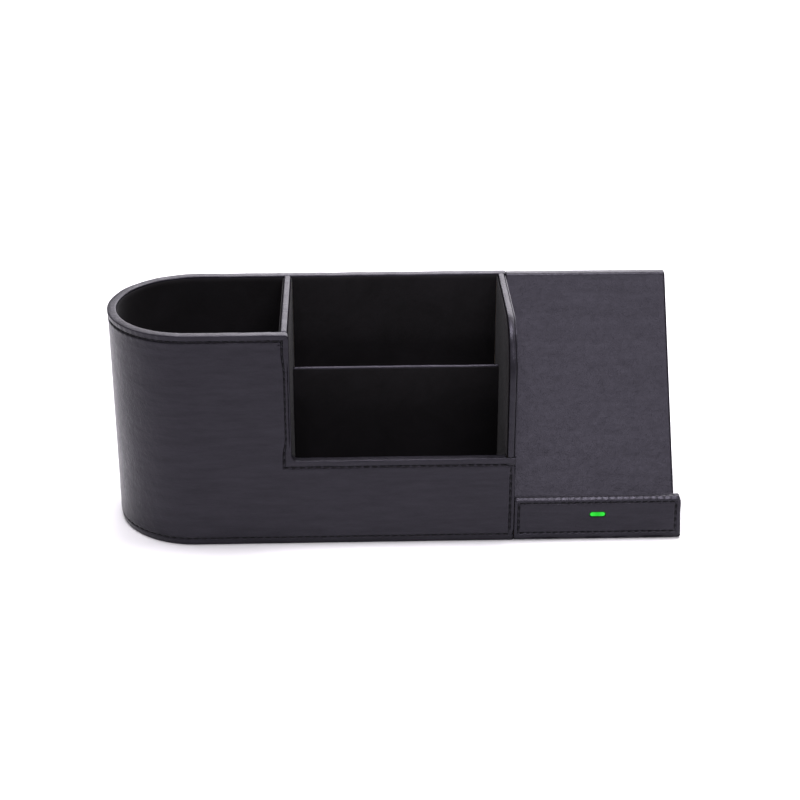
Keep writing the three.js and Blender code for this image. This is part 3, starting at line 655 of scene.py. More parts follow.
def speckled_material(name, low, high, scale, rough, depth, metallic=0.0):
    """A moulded or machined surface: two close tones, uneven roughness and a fine texture."""
    made = new_material(name)
    speckle = noise_of(made, scale, detail=5.0)
    tone = ramp(made, noise_of(made, scale / 12, detail=3.0), [(0.3, low), (0.7, high)])
    set_inputs(made, Metallic=metallic)
    return finish_material(made, tone, spread(made, speckle, *rough), bump(made, speckle, depth, 0.5))


def plastic_material():
    """Black moulded plastic."""
    low, high = (0.012, 0.012, 0.014), (0.02, 0.02, 0.022)
    return speckled_material("plastic", low, high, 1100.0, (0.42, 0.58), 0.00005)


def rubber_material():
    """Black rubber."""
    low, high = (0.008, 0.008, 0.009), (0.016, 0.016, 0.017)
    return speckled_material("rubber", low, high, 700.0, (0.7, 0.85), 0.00006)


def steel_material():
    """Plated screws and the shell of the port."""
    low, high = (0.5, 0.5, 0.51), (0.62, 0.62, 0.63)
    return speckled_material("steel", low, high, 1200.0, (0.2, 0.38), 0.00002, 1.0)


def chip_material():
    """Black moulded packages of the components."""
    low, high = (0.012, 0.012, 0.013), (0.022, 0.022, 0.024)
    return speckled_material("chip", low, high, 1500.0, (0.4, 0.6), 0.00004)


def wire_material():
    """Red insulation."""
    low, high = (0.3, 0.01, 0.008), (0.42, 0.02, 0.015)
    return speckled_material("wire", low, high, 700.0, (0.35, 0.5), 0.00003)


def ferrite_material():
    """Dark pressed ferrite."""
    low, high = (0.02, 0.02, 0.022), (0.045, 0.045, 0.048)
    return speckled_material("ferrite", low, high, 800.0, (0.5, 0.75), 0.00006)


def copper_material():
    """Enamelled wire wound in turns."""
    low, high = (0.42, 0.16, 0.06), (0.62, 0.27, 0.11)
    made = speckled_material("copper", low, high, 900.0, (0.22, 0.4), 0.00003, 1.0)
    set_inputs(made, Coat_Weight=0.6, Coat_Roughness=0.15)
    return made


def circuit_material():
    """Green solder mask over copper tracks."""
    made = new_material("circuit")
    tracks = add_node(made, "ShaderNodeTexVoronoi", distance="MANHATTAN", input_Scale=320.0)
    link(made, object_coordinates(made), tracks.inputs["Vector"])
    pattern = tracks.outputs["Distance"]
    tone = ramp(made, pattern, [(0.42, (0.008, 0.085, 0.035)), (0.5, (0.015, 0.16, 0.065))])
    gloss = spread(made, noise_of(made, 900.0), 0.25, 0.42)
    return finish_material(made, tone, gloss, bump(made, pattern, 0.00003, 0.5))


def light_material(name, strength):
    """Green plastic lit from behind, a little brighter towards its two ends."""
    made = new_material(name)
    shader = shader_of(made)
    split = add_node(made, "ShaderNodeSeparateXYZ")
    link(made, object_coordinates(made), split.inputs["Vector"])
    shift = add_node(made, "ShaderNodeMath", operation="SUBTRACT")
    shift.inputs[1].default_value = (light_low.x + light_high.x) / 2 * MM
    link(made, split.outputs["X"], shift.inputs[0])
    distance = add_node(made, "ShaderNodeMath", operation="ABSOLUTE")
    link(made, shift.outputs["Value"], distance.inputs[0])
    share = add_node(made, "ShaderNodeMapRange")
    share.inputs["From Max"].default_value = (light_high.x - light_low.x) / 2 * MM
    link(made, distance.outputs["Value"], share.inputs["Value"])
    glow = ramp(made, share.outputs["Result"], [(0.1, (0.004, 0.55, 0.012)), (0.75, (0.02, 0.78, 0.035))])
    link(made, glow, shader.inputs["Emission Color"])
    link(made, spread(made, noise_of(made, 1500.0), 0.2, 0.35), shader.inputs["Roughness"])
    set_inputs(made, Emission_Strength=strength, Base_Color=(0.0, 0.03, 0.002, 1), Specular_IOR_Level=0.2)
    return made


# Camera, floor and light.
def make_camera():
    """The camera looks down on the front from a little left of its middle."""
    data = bpy.data.cameras.new("camera")
    data.lens = 80.47
    data.sensor_width = 36.0
    camera = bpy.data.objects.new("camera", data)
    bpy.context.scene.collection.objects.link(camera)
    camera.location = (-0.0225, -0.7928, 0.4245)
    camera.rotation_euler = (math.radians(65.15), 0.0, math.radians(-1.8))
    bpy.context.scene.camera = camera


def make_floor():
    """A wide pale sheet under the object."""
    made = new_material("floor")
    mottle = noise_of(made, 3.0, detail=2.0)
    link(made, ramp(made, mottle, [(0.3, 0.86), (0.7, 0.88)]), shader_of(made).inputs["Base Color"])
    set_inputs(made, Roughness=0.9, Specular_IOR_Level=0.1)
    mesh = bpy.data.meshes.new("floor")
    reach = 6.0
    corners = [(-reach, -reach, 0), (reach, -reach, 0), (reach, reach, 0), (-reach, reach, 0)]
    mesh.from_pydata(corners, [], [(0, 1, 2, 3)])
    mesh.materials.append(made)
    floor = bpy.data.objects.new("floor", mesh)
    bpy.context.scene.collection.objects.link(floor)


def make_softbox(name, place, size, power):
    """A rectangular lamp that faces the object; size is its width and height in metres."""
    data = bpy.data.lights.new(name, "AREA")
    data.color = LAMP_COLOUR
    data.shape = "RECTANGLE"
    data.size, data.size_y = size
    data.energy = power
    lamp = bpy.data.objects.new(name, data)
    bpy.context.scene.collection.objects.link(lamp)
    lamp.location = place
    way = Vector(LAMP_TARGET) - Vector(place)
    lamp.rotation_euler = way.to_track_quat("-Z", "Y").to_euler()


def make_lights():
    """An even, dim studio with four softboxes; the strongest hangs above the object."""
    world = bpy.data.worlds.new("studio")
    world.use_nodes = True
    background = world.node_tree.nodes["Background"]
    background.inputs["Color"].default_value = (1.0, 1.0, 1.0, 1)
    background.inputs["Strength"].default_value = 0.2
    bpy.context.scene.world = world
    make_softbox("back_softbox", (0.5, 1.5, 0.9), (1.9, 1.4), 33.0)
    make_softbox("top_softbox", (0.0, 0.1, 1.65), (1.1, 0.36), 36.5)
    make_softbox("front_softbox", (0.3, -1.5, 1.4), (1.4, 1.0), 24.0)
    make_softbox("left_softbox", (-1.5, -0.4, 0.6), (0.8, 1.2), 4.4)
    bpy.context.scene.view_settings.view_transform = "Standard"
    bpy.context.scene.view_settings.look = "None"


# The cup and the compartment.
def wall_at(u, z, depth):
    """A place in the outer wall: u along its outside from the front seam, depth inwards."""
    turn = np.clip((u - STRAIGHT) / RADIUS, 0, math.pi)
    run = np.maximum(STRAIGHT - u, 0) + np.maximum(u - STRAIGHT - ARC, 0)
    reach = RADIUS - depth
    x, y, z = np.broadcast_arrays(END_CENTRE + run - reach * np.sin(turn), -reach * np.cos(turn), z)
    return np.stack([x, y, z], axis=-1)


def sheet_relief(u, z):
    """How far the outer leather lies behind the wall's nominal face."""
    depth = 0.06 * ripples(u + 2.3 * z, 11, 23.0) + 0.05 * ripples(u - 1.1 * z, 12, 9.0)
    depth = depth + BASE_PULL * (1 - smooth_step(SOLE_GAP, BOTTOM_ROW + 0.3, z))
    depth = depth + edge_round(z - SOLE_GAP, SOLE_EDGE)
    depth = depth + edge_round(u, SEAM_EDGE) + edge_round(PATH - u, SEAM_EDGE)
    pucker = PUCKER * np.cos(2 * math.pi * u / PITCH)
    sunk = (GROOVE_DEPTH * 0.7 + pucker) * groove(z - BOTTOM_ROW)
    depth = depth - (GROOVE_SWELL - 0.5 * pucker) * hump(z - BOTTOM_ROW - 1.3, 0.7)
    pucker = PUCKER * np.cos(2 * math.pi * z / PITCH)
    for row, top in ((u - END_ROW, NOTCH_TOP - NOTCH_ROW), (PATH - u - END_ROW, TOP - ROW_INSET)):
        strength = 1 - smooth_step(top - 1, top + 1, z)
        strength = strength * smooth_step(BOTTOM_ROW - 1, BOTTOM_ROW, z)
        sunk = np.maximum(sunk, strength * (GROOVE_DEPTH + pucker) * groove(row))
        depth = depth - strength * GROOVE_SWELL * hump(row - 1.2, 0.6)
    return depth + sunk


def rim_profile():
    """The turned edge of the leather: (distance from the rim, depth through the wall)."""
    distances = [7.0, 6.0, 5.2, 4.7, 4.4, 4.2, 4.0, 3.85, 3.72, 3.6, 3.4, 3.15, 2.9, 2.7, 2.58, 2.45, 2.3]
    distances += [2.1, 1.8, 1.4, 1.05, 0.92, 0.8, 0.68, 0.55]
    face = []
    for distance in distances:
        swell = -0.09 * hump(distance - ROW_INSET - 1.4, 0.8)
        lean = -RIM_LEAN * (1 - smooth_step(0.0, ROW_INSET, distance))
        face.append((distance, swell + lean + GROOVE_DEPTH * groove(distance - ROW_INSET)))
    width = WALL - FACING - GAP / 2
    turned, inner = [], []
    for angle in (0, 22, 45, 68, 90):
        sine, cosine = math.sin(math.radians(angle)), math.cos(math.radians(angle))
        turned.append((OUTER_EDGE * (1 - sine), OUTER_EDGE * (1 - cosine) - 0.28))
        inner.append((INNER_EDGE * (1 - cosine), width - INNER_EDGE * (1 - sine)))
    crown = [(-0.02, width * 0.3), (-0.03, width * 0.45), (-0.03, width * 0.6), (-0.01, width * 0.72)]
    return face + turned + crown + inner + [(FACING_DROP + 0.3, width), (3.4, width)]


def rim_insets(rim):
    """How far the rim's stitch row lies from the edge, as a share of ROW_INSET; and where it is upright."""
    under_notch = 1 - smooth_step(NOTCH_TOP + 1.0, NOTCH_TOP + 8.0, rim[0][:, 1])
    upright = (np.abs(rim[1][:, 0]) > 0.99) * (1 - smooth_step(TOP - 20.0, TOP - 9.0, rim[0][:, 1]))
    upright = upright * smooth_step(NOTCH_TOP + 4.0, NOTCH_TOP + 12.0, rim[0][:, 1])
    insets = 1 + (NOTCH_ROW / ROW_INSET - 1) * under_notch + (NOTCH_SIDE_ROW / ROW_INSET - 1) * upright
    return insets, upright


def rim_stations(rim, along):
    """The rim's mesh, line by line from the face over the edge to the inside."""
    insets, upright = rim_insets(rim)
    pitch = along[-1] / round(along[-1] / PITCH)
    phase = 2 * math.pi * along / pitch
    wave = 0.13 * ripples(along, 1, 11.0) + 0.06 * ripples(along, 2, 4.0)
    stations = []
    for distance, depth in rim_profile():
        apart = smooth_step(-0.4, 1.2, np.minimum(rim[2], 99.0) - distance)
        pucker = PUCKER * np.cos(phase) * hump(distance - ROW_INSET, 1.4) * apart
        bead = 0.045 * np.cos(phase) * hump(distance - 0.9, 0.8) * apart
        crease = 0.4 * upright * hump(distance - NOTCH_CREASE, 0.15)
        fade = 1 - smooth_step(3.5, 6.5, distance)
        share = smooth_step(0.6, ROW_INSET, distance)
        spots = move_in(rim, distance * (1 + (insets - 1) * share))
        spots[:, 1] += wave * fade * (np.abs(rim[1][:, 1]) > 0.5)
        hidden = smooth_step(SIDE_WALL - 0.3, SIDE_WALL + 0.5, spots[:, 0])
        inward = np.minimum(depth, LEATHER) + np.maximum(depth - LEATHER, 0) * hidden
        inward = inward + pucker + bead + crease
        if depth < LEATHER and distance >= 0.55:
            inward = inward + sheet_relief(*spots.T)
        stations.append(wall_at(*spots.T, inward))
    return stations


def outer_wall():
    """The outer leather, turned over the rim and round the cut-out in the front."""
    corners = [(0, NOTCH_TOP), (NOTCH_LEFT, NOTCH_TOP), (NOTCH_LEFT, TOP), (PATH, TOP)]
    rim = rounded_path(corners, [NOTCH_BEND, RIM_BEND], [0.55, 0.55, 0.55], arc_steps=10)
    insets = rim_insets(rim)[0]
    row = move_in(rim, ROW_INSET * insets)
    stations = rim_stations(rim, lengths_along(row))
    points = np.concatenate(stations)
    faces = grid_faces(len(stations), len(row))

    edge = move_in(rim, FILL_INSET * insets)
    apart = np.linalg.norm(np.diff(edge, axis=0), axis=1) > 1e-4
    spots, triangles = fill_between(edge[np.concatenate([[True], apart])])
    faces += [tuple(len(points) + i for i in triangle) for triangle in triangles]
    depth = sheet_relief(*spots.T)
    points = np.concatenate([points, wall_at(*spots.T, depth)])
    middle = wall_at(np.array(STRAIGHT / 2), 20.0, 0.0)
    piece = mesh_piece("outer_wall_leather", points, faces, LEATHER_LOOK, outward=(middle, (0, -1, 0)))
    thicken(piece)
    belongs(piece, "leather", "outer_wall_cover")
    outer_wall_stitches(row)


def on_rim_row(spots, height):
    """A place in the groove of the rim's stitch row."""
    return wall_at(*spots.T, GROOVE_DEPTH - RIM_STITCH_LIFT - height + sheet_relief(*spots.T))


def on_outer_wall(spots, height):
    """A place on the outer leather, in whichever groove it runs through."""
    return wall_at(*spots.T, sheet_relief(*spots.T) - height - STITCH_LIFT)


def outer_wall_stitches(rim_row):
    """The rows of the outer leather: along the rim, along the base and up both seams."""
    stitch_row("rim_stitches", rim_row, on_rim_row, PITCH, 21)
    bottom = np.array([(u, BOTTOM_ROW) for u in np.linspace(END_ROW, PATH - END_ROW, 700)])
    stitch_row("bottom_stitches", bottom, on_outer_wall, PITCH, 22)
    for name, u, top in (
        ("front_seam_stitches", END_ROW, NOTCH_TOP - NOTCH_ROW - 1.0),
        ("back_seam_stitches", PATH - END_ROW, TOP - ROW_INSET - 2.0),
    ):
        line = np.array([(u, z) for z in np.linspace(BOTTOM_ROW + 1.2, top, 120)])
        stitch_row(name, line, on_outer_wall, PITCH, 23)


def fill_points():
    """Places on the outer face: coarse where it is plain, fine along its stitch rows."""
    low = SOLE_GAP
    levels = [0.0, 0.12, 0.3, 0.55, 0.9, 1.4, 1.9, 2.3, 2.6, 2.9, 3.2, 3.5, 3.8, 4.1, 4.5, 5.0, 5.6]
    found = [(u, low + level) for level in levels for u in np.arange(0, PATH + 0.4, 0.8)]
    found += [(u, z) for z in np.arange(low + 7.5, TOP, 3.0) for u in np.arange(0, PATH + 1, 3.0)]
    ends = (0.0, 0.15, 0.35, 0.6, 1.0, 1.3, 1.6, 1.85, 2.1, 2.35, 2.6, 2.9, 3.3, 3.9)
    for z in np.arange(low + 6.4, TOP, 0.8):
        found += [(u, z) for u in ends]
        found += [(PATH - u, z) for u in ends]
    found = np.array(found)
    found[:, 0] = np.clip(found[:, 0], 0, PATH)
    return found


def distance_to_line(points, line):
    """How far each point lies from a polyline."""
    nearest = np.full(len(points), np.inf)
    for first, second in zip(line, line[1:]):
        way = second - first
        share = np.clip(((points - first) @ way) / max(way @ way, 1e-12), 0, 1)
        gap = np.linalg.norm(points - first - share[:, None] * way, axis=1)
        nearest = np.minimum(nearest, gap)
    return nearest


def fill_between(loop):
    """Points and triangles over the face between the rim's own mesh and the lower edge."""
    tiny = 1e-6
    grid = fill_points()
    grid = grid[(grid[:, 0] > loop[0][0] + tiny) | (grid[:, 1] <= loop[0][1] - 0.3)]
    notch_side = loop[np.argmax(loop[:, 1] > NOTCH_TOP), 0]
    under = (grid[:, 1] < TOP - FILL_INSET) & ((grid[:, 0] > notch_side) | (grid[:, 1] < loop[0][1]))
    inside = grid[under & (distance_to_line(grid, loop) > 0.35)]
    on_seams = [np.abs(inside[:, 0] - u) < tiny for u in (PATH, 0.0)]
    on_base = np.abs(inside[:, 1] - SOLE_GAP) < tiny
    back_seam, front_seam = (inside[seam & ~on_base] for seam in on_seams)
    base = inside[on_base]
    rest = inside[~(on_seams[0] | on_seams[1] | on_base)]
    border = np.concatenate([
        loop,
        back_seam[np.argsort(-back_seam[:, 1])],
        base[np.argsort(-base[:, 0])],
        front_seam[np.argsort(front_seam[:, 1])],
    ])
    count = len(border)
    edges = [(i, (i + 1) % count) for i in range(count)]
    everything = [Vector(p) for p in np.concatenate([border, rest])]
    made = delaunay_2d_cdt(everything, edges, [], 1, 1e-5)
    return np.array([tuple(v) for v in made[0]]), [tuple(f) for f in made[2]]


def lining_sheet(name, node, start, end, top):
    """Lining cloth on the inside of the outer wall, with a soft upper edge."""
    outer = WALL - FACING
    ring = [
        (LINING_FOOT, outer), (top - 0.25, outer), (top - 0.06, outer + 0.07), (top, outer + 0.22),
        (top - 0.05, WALL - 0.12), (top - 0.22, WALL), (top - 2.0, WALL), (LINING_FOOT, WALL),
    ]
    stations = []
    for u in np.linspace(start, end, max(2, round((end - start) / 2)) + 1):
        lift = 0.09 * ripple(u, 31, 8.0)
        stations.append(np.array([
            wall_at(np.array(u), z + (lift if z > LINING_FOOT else 0), depth) for z, depth in ring
        ]))
    belongs(closed_sweep(name, stations, LINING_LOOK), "lining", node)


def linings():
    """The cloth in the cup and on the front and the back of the compartment."""
    start = SEAM - divider_low.x + GAP
    top = TOP - FACING_DROP
    lining_sheet("cup_lining_cloth", "pen_cup_lining", start, PATH - start, top)
    start, end = SEAM - front_lining_high.x, SEAM - front_lining_low.x
    lining_sheet(
        "front_pocket_lining_cloth", "compartment_front_lining", start, end, NOTCH_TOP - FACING_DROP,
    )
    low, high = cad_box("compartment_back_lining")
    start, end = PATH - (SEAM - low.x), PATH - (SEAM - high.x)
    lining_sheet("back_pocket_lining_cloth", "compartment_back_lining", start, end, top)


def strap_profile(width, reach, edge, crown):
    """Leather over an edge, with a low ridge: (distance from the edge, place across the board)."""
    profile = [(reach, 0.0), (reach * 0.5, 0.0), (1.6, 0.0)]
    for angle in (0, 18, 36, 54, 72, 90):
        turn = math.radians(angle)
        profile.append((edge * (1 - math.sin(turn)), edge * (1 - math.cos(turn))))
    for share, rise in ((0.35, 0.4), (0.7, 0.8), (0.93, 1.0)):
        profile.append((-crown * rise, edge + (width / 2 - edge) * share))
    return profile + [(d, width - w) for d, w in reversed(profile)]


def strap(name, node, stations, outward):
    """The leather of a strap, from its open sheet."""
    piece = sweep(name, stations, LEATHER_LOOK, outward)
    thicken(piece, STRAP_LEATHER)
    belongs(piece, "leather", node)


def lined_wall(node, names, thin, places, drops, gap, edge, crown):
    """A straight wall: a leather strap between two lining sheets.

    thin is the axis that it is thin along; places and drops are the strap's stations along the other
    axis and how far its top lies below the node's. names are the strap's and the two sheets'.
    """
    low, high = cad_box(node)
    along_wall, facing_wall = (across_y, across_x) if thin == 0 else (across_x, across_y)
    start = low[thin] + FACING + gap
    width = high[thin] - low[thin] - 2 * (FACING + gap)
    profile = strap_profile(width, high.z - low.z, edge, crown)
    stations = []
    for place, drop in zip(places, drops):
        section = np.array([(start + across, high.z - down - drop) for down, across in profile])
        stations.append(along_wall(section, place))
    middle = along_wall(np.array([(start + width / 2, high.z)]), (places[0] + places[-1]) / 2)[0]
    strap(names[0], node, stations, (middle, (0, 0, 1)))
    outline = rectangle(low[1 - thin], low.z, high[1 - thin], high.z - FACING_DROP)
    for name, level in zip(names[1:], (low[thin], high[thin] - FACING)):
        belongs(slab(name, outline, facing_wall, level, level + FACING, CLOTH_EDGE, LINING_LOOK), "lining")


def divider():
    """The wall between the cup and the compartment."""
    names = ("divider_leather", "divider_cup_facing", "divider_pocket_facing")
    front, back = FRONT + WALL - FACING, BACK - WALL + FACING
    places = np.linspace(front, back, 120)
    drops = 0.1 * ripples(places, 41, 9.0) + 0.3 * edge_round(places - front, 0.8) + 0.02
    lined_wall("cup_divider_cover", names, 0, places, drops, STRAP_GAP, STRAP_EDGE, STRAP_CROWN)


def partition():
    """The cross partition in the compartment, lower than the walls round it."""
    names = ("partition_leather", "partition_front_facing", "partition_back_facing")
    low, high = cad_box("card_partition_cover")
    places = np.linspace(low.x, high.x, 120)
    drops = PARTITION_CROWN + 0.12 * ripples(places, 51, 14.0)
    lined_wall(
        "card_partition_cover", names, 1, places, drops, PARTITION_GAP, PARTITION_EDGE, PARTITION_CROWN,
    )


def side_wall():
    """The wall beside the charging stand, with its round upper front corner."""
    low, high = side_low, side_high
    left = low.x + FACING + STRAP_GAP
    right = high.x - SIDE_SHEET_GAP - SIDE_SHEET - SIDE_STRAP_GAP
    corners = [(FRONT, NOTCH_TOP + GAP), (FRONT, high.z), (BACK - WALL + FACING, high.z)]
    path = rounded_path(corners, [SIDE_BEND], [0.7, 0.7], arc_steps=44)
    wave = 0.1 * ripples(lengths_along(path[0]), 61, 10.0)
    stations = []
    for down, across in strap_profile(right - left, STRAP_REACH, STRAP_EDGE, SIDE_CROWN):
        spots = move_in(path, down + SIDE_CROWN + wave * (down < 3))
        stations.append(across_x(spots, left + across))
    middle = ((left + right) / 2, 10, high.z)
    strap("side_wall_leather", "side_wall_cover", stations, (middle, (0, 0, 1)))

    edge = move_in(path, FACING_DROP)
    edge = edge[edge[:, 1] > NOTCH_TOP + 1]
    shoulder = NOTCH_TOP + 0.4
    sheet_right = high.x - SIDE_SHEET_GAP
    for name, foot, left, right, material, slot in (
        ("side_wall_pocket_facing", FRONT + WALL + GAP, low.x, low.x + FACING, LINING_LOOK, "lining"),
        ("side_wall_outer_leather", FRONT + LEATHER + GAP, sheet_right - SIDE_SHEET, sheet_right,
         LEATHER_LOOK, "leather"),
    ):
        ends = np.array([(high.y, low.z), (foot, low.z), (foot, shoulder)])
        outline = np.concatenate([np.array([(edge[0][0], shoulder)]), edge, ends])[::-1]
        belongs(slab(name, outline, across_x, left, right, 0.2, material), slot)


def floors():
    """Lining on the floors of the cup and the two pockets."""
    for node in ("front_pocket_floor", "back_pocket_floor", "pen_cup_floor"):
        low, high = cad_box(node)
        outline = rectangle(low.x, low.y, high.x, high.y)
        if node == "pen_cup_floor":
            outline = round_end_outline(RADIUS - WALL - GAP, high.x, 48)
        cloth = slab(node + "_cloth", outline, across_z, low.z, high.z, FLOOR_EDGE, LINING_LOOK)
        belongs(cloth, "lining", node)


# The charging stand.
def ledge_relief(x, y, z):
    """How far the ledge's leather lies behind its nominal face."""
    left, _, bottom, _ = LEDGE_FRAME
    front = y < FRONT + 0.5
    depth = 0.05 * ripples(x + 1.7 * z, 71, 13.0)
    depth = depth + front * LEDGE_PULL * (1 - smooth_step(SOLE_GAP, bottom, z))
    level = GROOVE_DEPTH * 0.9 + LEDGE_PUCKER * np.cos(2 * math.pi * (x - left) / LEDGE_PITCH)
    upright = GROOVE_DEPTH * 0.9 + PUCKER * np.cos(2 * math.pi * (z - bottom) / LEDGE_PITCH)
    return depth + front * framed_groove(x, z, LEDGE_FRAME, level, upright)


def ledge_line(x, path):
    """The ledge's leather across its length, from under its front over the lip into the trough."""
    low, high = ledge_low, ledge_high
    base = path[0]
    seam = LIP_BACK - 0.95
    depth = ledge_relief(x, *base.T)
    depth = depth + (base[:, 1] > high.z - 0.9) * 0.5 * hump(base[:, 0] - seam, 0.2)
    wobble = 0.07 * math.cos(2 * math.pi * (x - low.x) / LEDGE_PITCH) + 0.12 * ripple(x, 72, 7.0)
    depth = depth + wobble * hump(base[:, 1] - high.z, 1.6) * (base[:, 0] < seam)
    depth = depth + edge_round(x - low.x, 0.5) + edge_round(high.x - x, 1.2)
    spots = move_in(path, depth)
    past = max(0.0, 1 - (high.x - x) / 1.5)
    fall = 3.4 * (1 - math.sqrt(max(0.0, 1 - past**2)))
    spots[:, 1] -= fall * smooth_step(high.z - 7.0, high.z, spots[:, 1]) * (base[:, 1] > TROUGH + 0.6)
    low_down = 1 - smooth_step(low.z, high.z - 6, spots[:, 1])
    return across_x(spots, x + LEDGE_FLARE * low_down * smooth_step(high.x - 5, high.x, x))


def on_ledge_front(spots, height):
    """A place on the ledge's front."""
    return across_y(spots, FRONT + ledge_relief(spots[:, 0], FRONT, spots[:, 1]) - height - STITCH_LIFT)


def ledge():
    """The ledge that carries the phone: stitched front, lip and trough."""
    low, high = ledge_low, ledge_high
    depth, height = LIP_CHAMFER
    corners = [
        (FRONT + 3.0, SOLE_GAP), (FRONT, SOLE_GAP), (FRONT, high.z - height),
        (FRONT + depth, high.z), (LIP_BACK, high.z), (LIP_BACK, TROUGH), (high.y, TROUGH),
    ]
    path = rounded_path(corners, [0.45, 0.9, 1.2, 0.45, 0.5], [0.8, 0.3, 0.3, 0.16, 0.6, 0.9])
    places = [low.x + step for step in (0, 0.1, 0.25, 0.45, 0.7, 1.0)]
    places += list(np.arange(low.x + 1.4, high.x - 1.5, 0.45))
    places += [high.x - step for step in (1.4, 1.15, 0.9, 0.65, 0.42, 0.22, 0.08, 0.0)]
    stations = [ledge_line(x, path) for x in places]
    foot = np.array([(high.x + LEDGE_FLARE, high.y, SOLE_GAP)])
    middle = ((low.x + high.x) / 2 + 20, FRONT, 12.0)
    piece = sweep("ledge_leather", stations, LEATHER_LOOK, (middle, (0, -1, 0)), end=foot)
    thicken(piece)
    cut(piece, pill_cutter(light_low, light_high, FRONT))
    smooth(piece, 40)
    belongs(piece, "leather", "ledge_cover")
    stitch_frame("ledge", LEDGE_FRAME, 0.6, on_ledge_front, LEDGE_PITCH, 24)


def stand_back_relief(x, z):
    """How far the leather lies behind the nominal face on the stand's back."""
    depth = 0.06 * ripples(x - 2.1 * z, 81, 19.0)
    return depth + framed_groove(x, z, STAND_FRAME, GROOVE_DEPTH, GROOVE_DEPTH)


def on_stand_back(spots, height):
    """A place on the stand's back."""
    return across_y(spots, BACK - stand_back_relief(*spots.T) + height + STITCH_LIFT)


def panel():
    """Leather up the leaning panel, over its top and down the back."""
    low, high = panel_low, panel_high
    corners = [(low.y, TROUGH), (BACK - PANEL_TOP_DEPTH, high.z), (BACK, high.z), (BACK, SOLE_GAP)]
    path = rounded_path(corners, [PANEL_TOP_BEND, BACK_TOP_BEND], [1.2, 0.5, 0.8], arc_steps=8)
    base = path[0]
    on_back = base[:, 0] > high.y - 0.3
    places = [low.x + step for step in (0, 0.1, 0.25, 0.45, 0.7, 1.0)]
    places += list(np.arange(low.x + 1.6, high.x - 2.4, 0.7))
    places += [high.x - step for step in (2.2, 1.7, 1.3, 0.9, 0.6, 0.3, 0.0)]
    stations = []
    for x in places:
        depth = 0.07 * ripples(lengths_along(base) + 1.3 * x, 82, 31.0)
        depth = depth * (1 - on_back) + on_back * stand_back_relief(x, base[:, 1])
        depth = depth + edge_round(x - low.x, 0.55) + edge_round(end_high.x - x, STAND_EDGE)
        stations.append(across_x(move_in(path, depth), x))
    middle = ((low.x + high.x) / 2, high.y, 50.0)
    piece = sweep("panel_leather", stations, LEATHER_LOOK, (middle, (0, 1, 0)))
    thicken(piece)
    cut(piece, pill_cutter(bezel_low, bezel_high, BACK))
    smooth(piece, 40)
    belongs(piece, "leather", "panel_cover")
    stitch_frame("stand", STAND_FRAME, 1.0, on_stand_back, PITCH, 25)


def end_cover():
    """Leather on the closed right-hand end of the stand, rounded towards the panel and the back."""
    low, high = end_low, end_high
    corners = [
        (low.y, SOLE_GAP), (low.y, TROUGH), (BACK - PANEL_TOP_DEPTH, high.z),
        (BACK, high.z), (BACK, SOLE_GAP),
    ]
    bends = [0.6, PANEL_TOP_BEND, BACK_TOP_BEND]
    path = rounded_path(corners, bends, [3.0, 1.2, 0.5, 3.0], arc_steps=8)
    stations = []
    for x in [low.x, low.x + 0.2, low.x + 0.4, low.x + 0.55, low.x + 0.68, high.x - 0.04, high.x]:
        spots = move_in(path, edge_round(high.x - x, STAND_EDGE) * 0.8)
        spots[:, 1] = np.maximum(spots[:, 1], SOLE_GAP)
        stations.append(across_x(spots, x))
    belongs(closed_sweep("end_leather", stations, LEATHER_LOOK), "leather", "stand_end_cover")


def status_light():
    """The lit window of the status light, slightly domed, in a dark rim."""
    low, high = light_low, light_high
    middle = (low + high) / 2
    size = high - low
    edge = 0.3
    outer = pill_outline(size.x, size.z, middle.x, middle.z)
    rim = slab("status_light_rim", outer, across_y, low.y + 0.15, high.y, edge, GLOW_RIM_LOOK)
    belongs(rim, "light", "led_light_pipe")
    inner = pill_outline(size.x - 0.9, size.z - 0.95, middle.x, middle.z)
    window = slab("status_light_window", inner, across_y, low.y, low.y + 1.0, edge, GLOW_LOOK)
    belongs(window, "light")


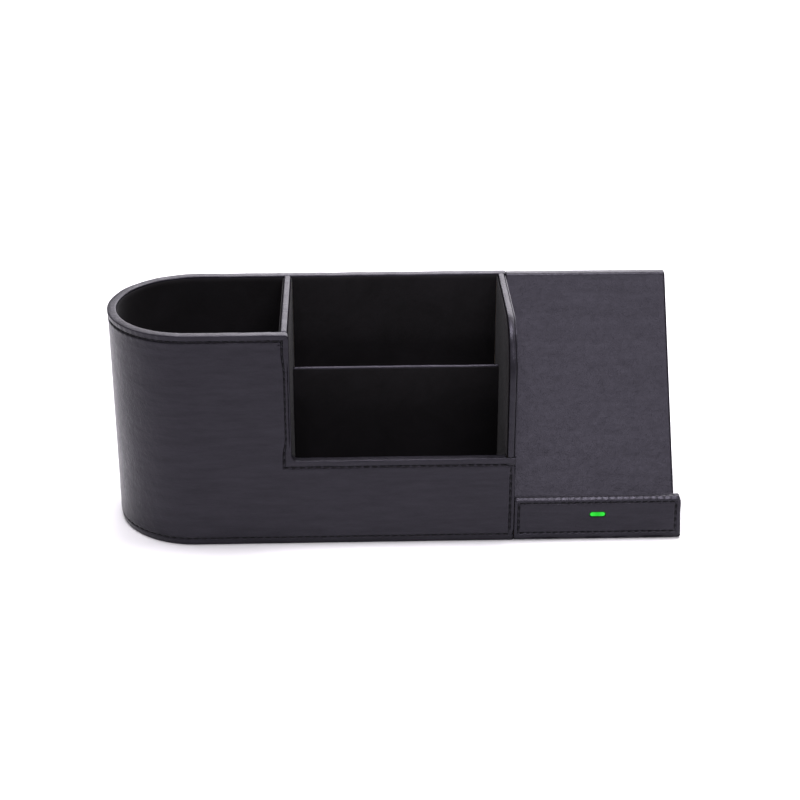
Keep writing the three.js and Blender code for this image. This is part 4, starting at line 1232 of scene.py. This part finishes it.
def underside():
    """The non-slip sheet that the organizer stands on, with soft edges."""
    low, high = cad_box("underside_sheet")
    outline = round_end_outline(RADIUS - SHEET_INSET, SEAM - SHEET_INSET, 60)
    felt = slab("underside_felt", outline, across_z, low.z, high.z, 0.3, FELT_LOOK)
    belongs(felt, "underside", "underside_sheet")


def feet():
    """Turned rubber feet with a rounded rim and a shallow dish."""
    profile = [(0, 0.18), (2.4, 0.18), (2.7, 0.02), (3.5, 0.0), (3.85, 0.12), (4.0, 0.4), (4.0, 0.8)]
    profile.append((0, 0.8))
    angles = np.linspace(0, 2 * math.pi, 40, endpoint=False)
    for number in range(1, 5):
        node = f"stand_foot_{number}"
        low, high = cad_box(node)
        middle = (low + high) / 2
        round_it = np.stack([np.cos(angles), np.sin(angles)], axis=1)
        rings = [across_z(round_it * radius + middle.xy, low.z + up) for radius, up in profile]
        faces = grid_faces(len(rings), len(angles), closed=True)
        belongs(mesh_piece(node + "_pad", np.concatenate(rings), faces, RUBBER_LOOK), "rubber", node)


def carried_over():
    """Better materials for the CAD nodes that are shown as they are."""
    looks = {
        "board": board_material(),
        "plastic": PLASTIC_LOOK,
        "steel": steel_material(),
        "circuit": circuit_material(),
        "chip": chip_material(),
        "copper": copper_material(),
        "wire": wire_material(),
        "ferrite": ferrite_material(),
        "light": GLOW_LOOK,
        "leather": LEATHER_LOOK,
        "lining": LINING_LOOK,
        "underside": FELT_LOOK,
        "rubber": RUBBER_LOOK,
    }
    for part in frame["record"]["subparts"]:
        for place in frame["nodes"][part["node"]].material_slots:
            place.material = looks[part["material_slot"]]
    for place in frame["nodes"]["stand_base_board"].material_slots:
        place.material = FELT_LOOK


make_camera()
LEATHER_LOOK = leather_material()
THREAD_LOOK = thread_material()
LINING_LOOK = lining_material()
FELT_LOOK = felt_material()
PLASTIC_LOOK = plastic_material()
RUBBER_LOOK = rubber_material()
GLOW_LOOK = light_material("lit_window", 1.1)
GLOW_RIM_LOOK = light_material("lit_window_rim", 0.09)

make_floor()
make_lights()
carried_over()
outer_wall()
linings()
divider()
partition()
side_wall()
floors()
ledge()
panel()
end_cover()
status_light()
underside()
feet()
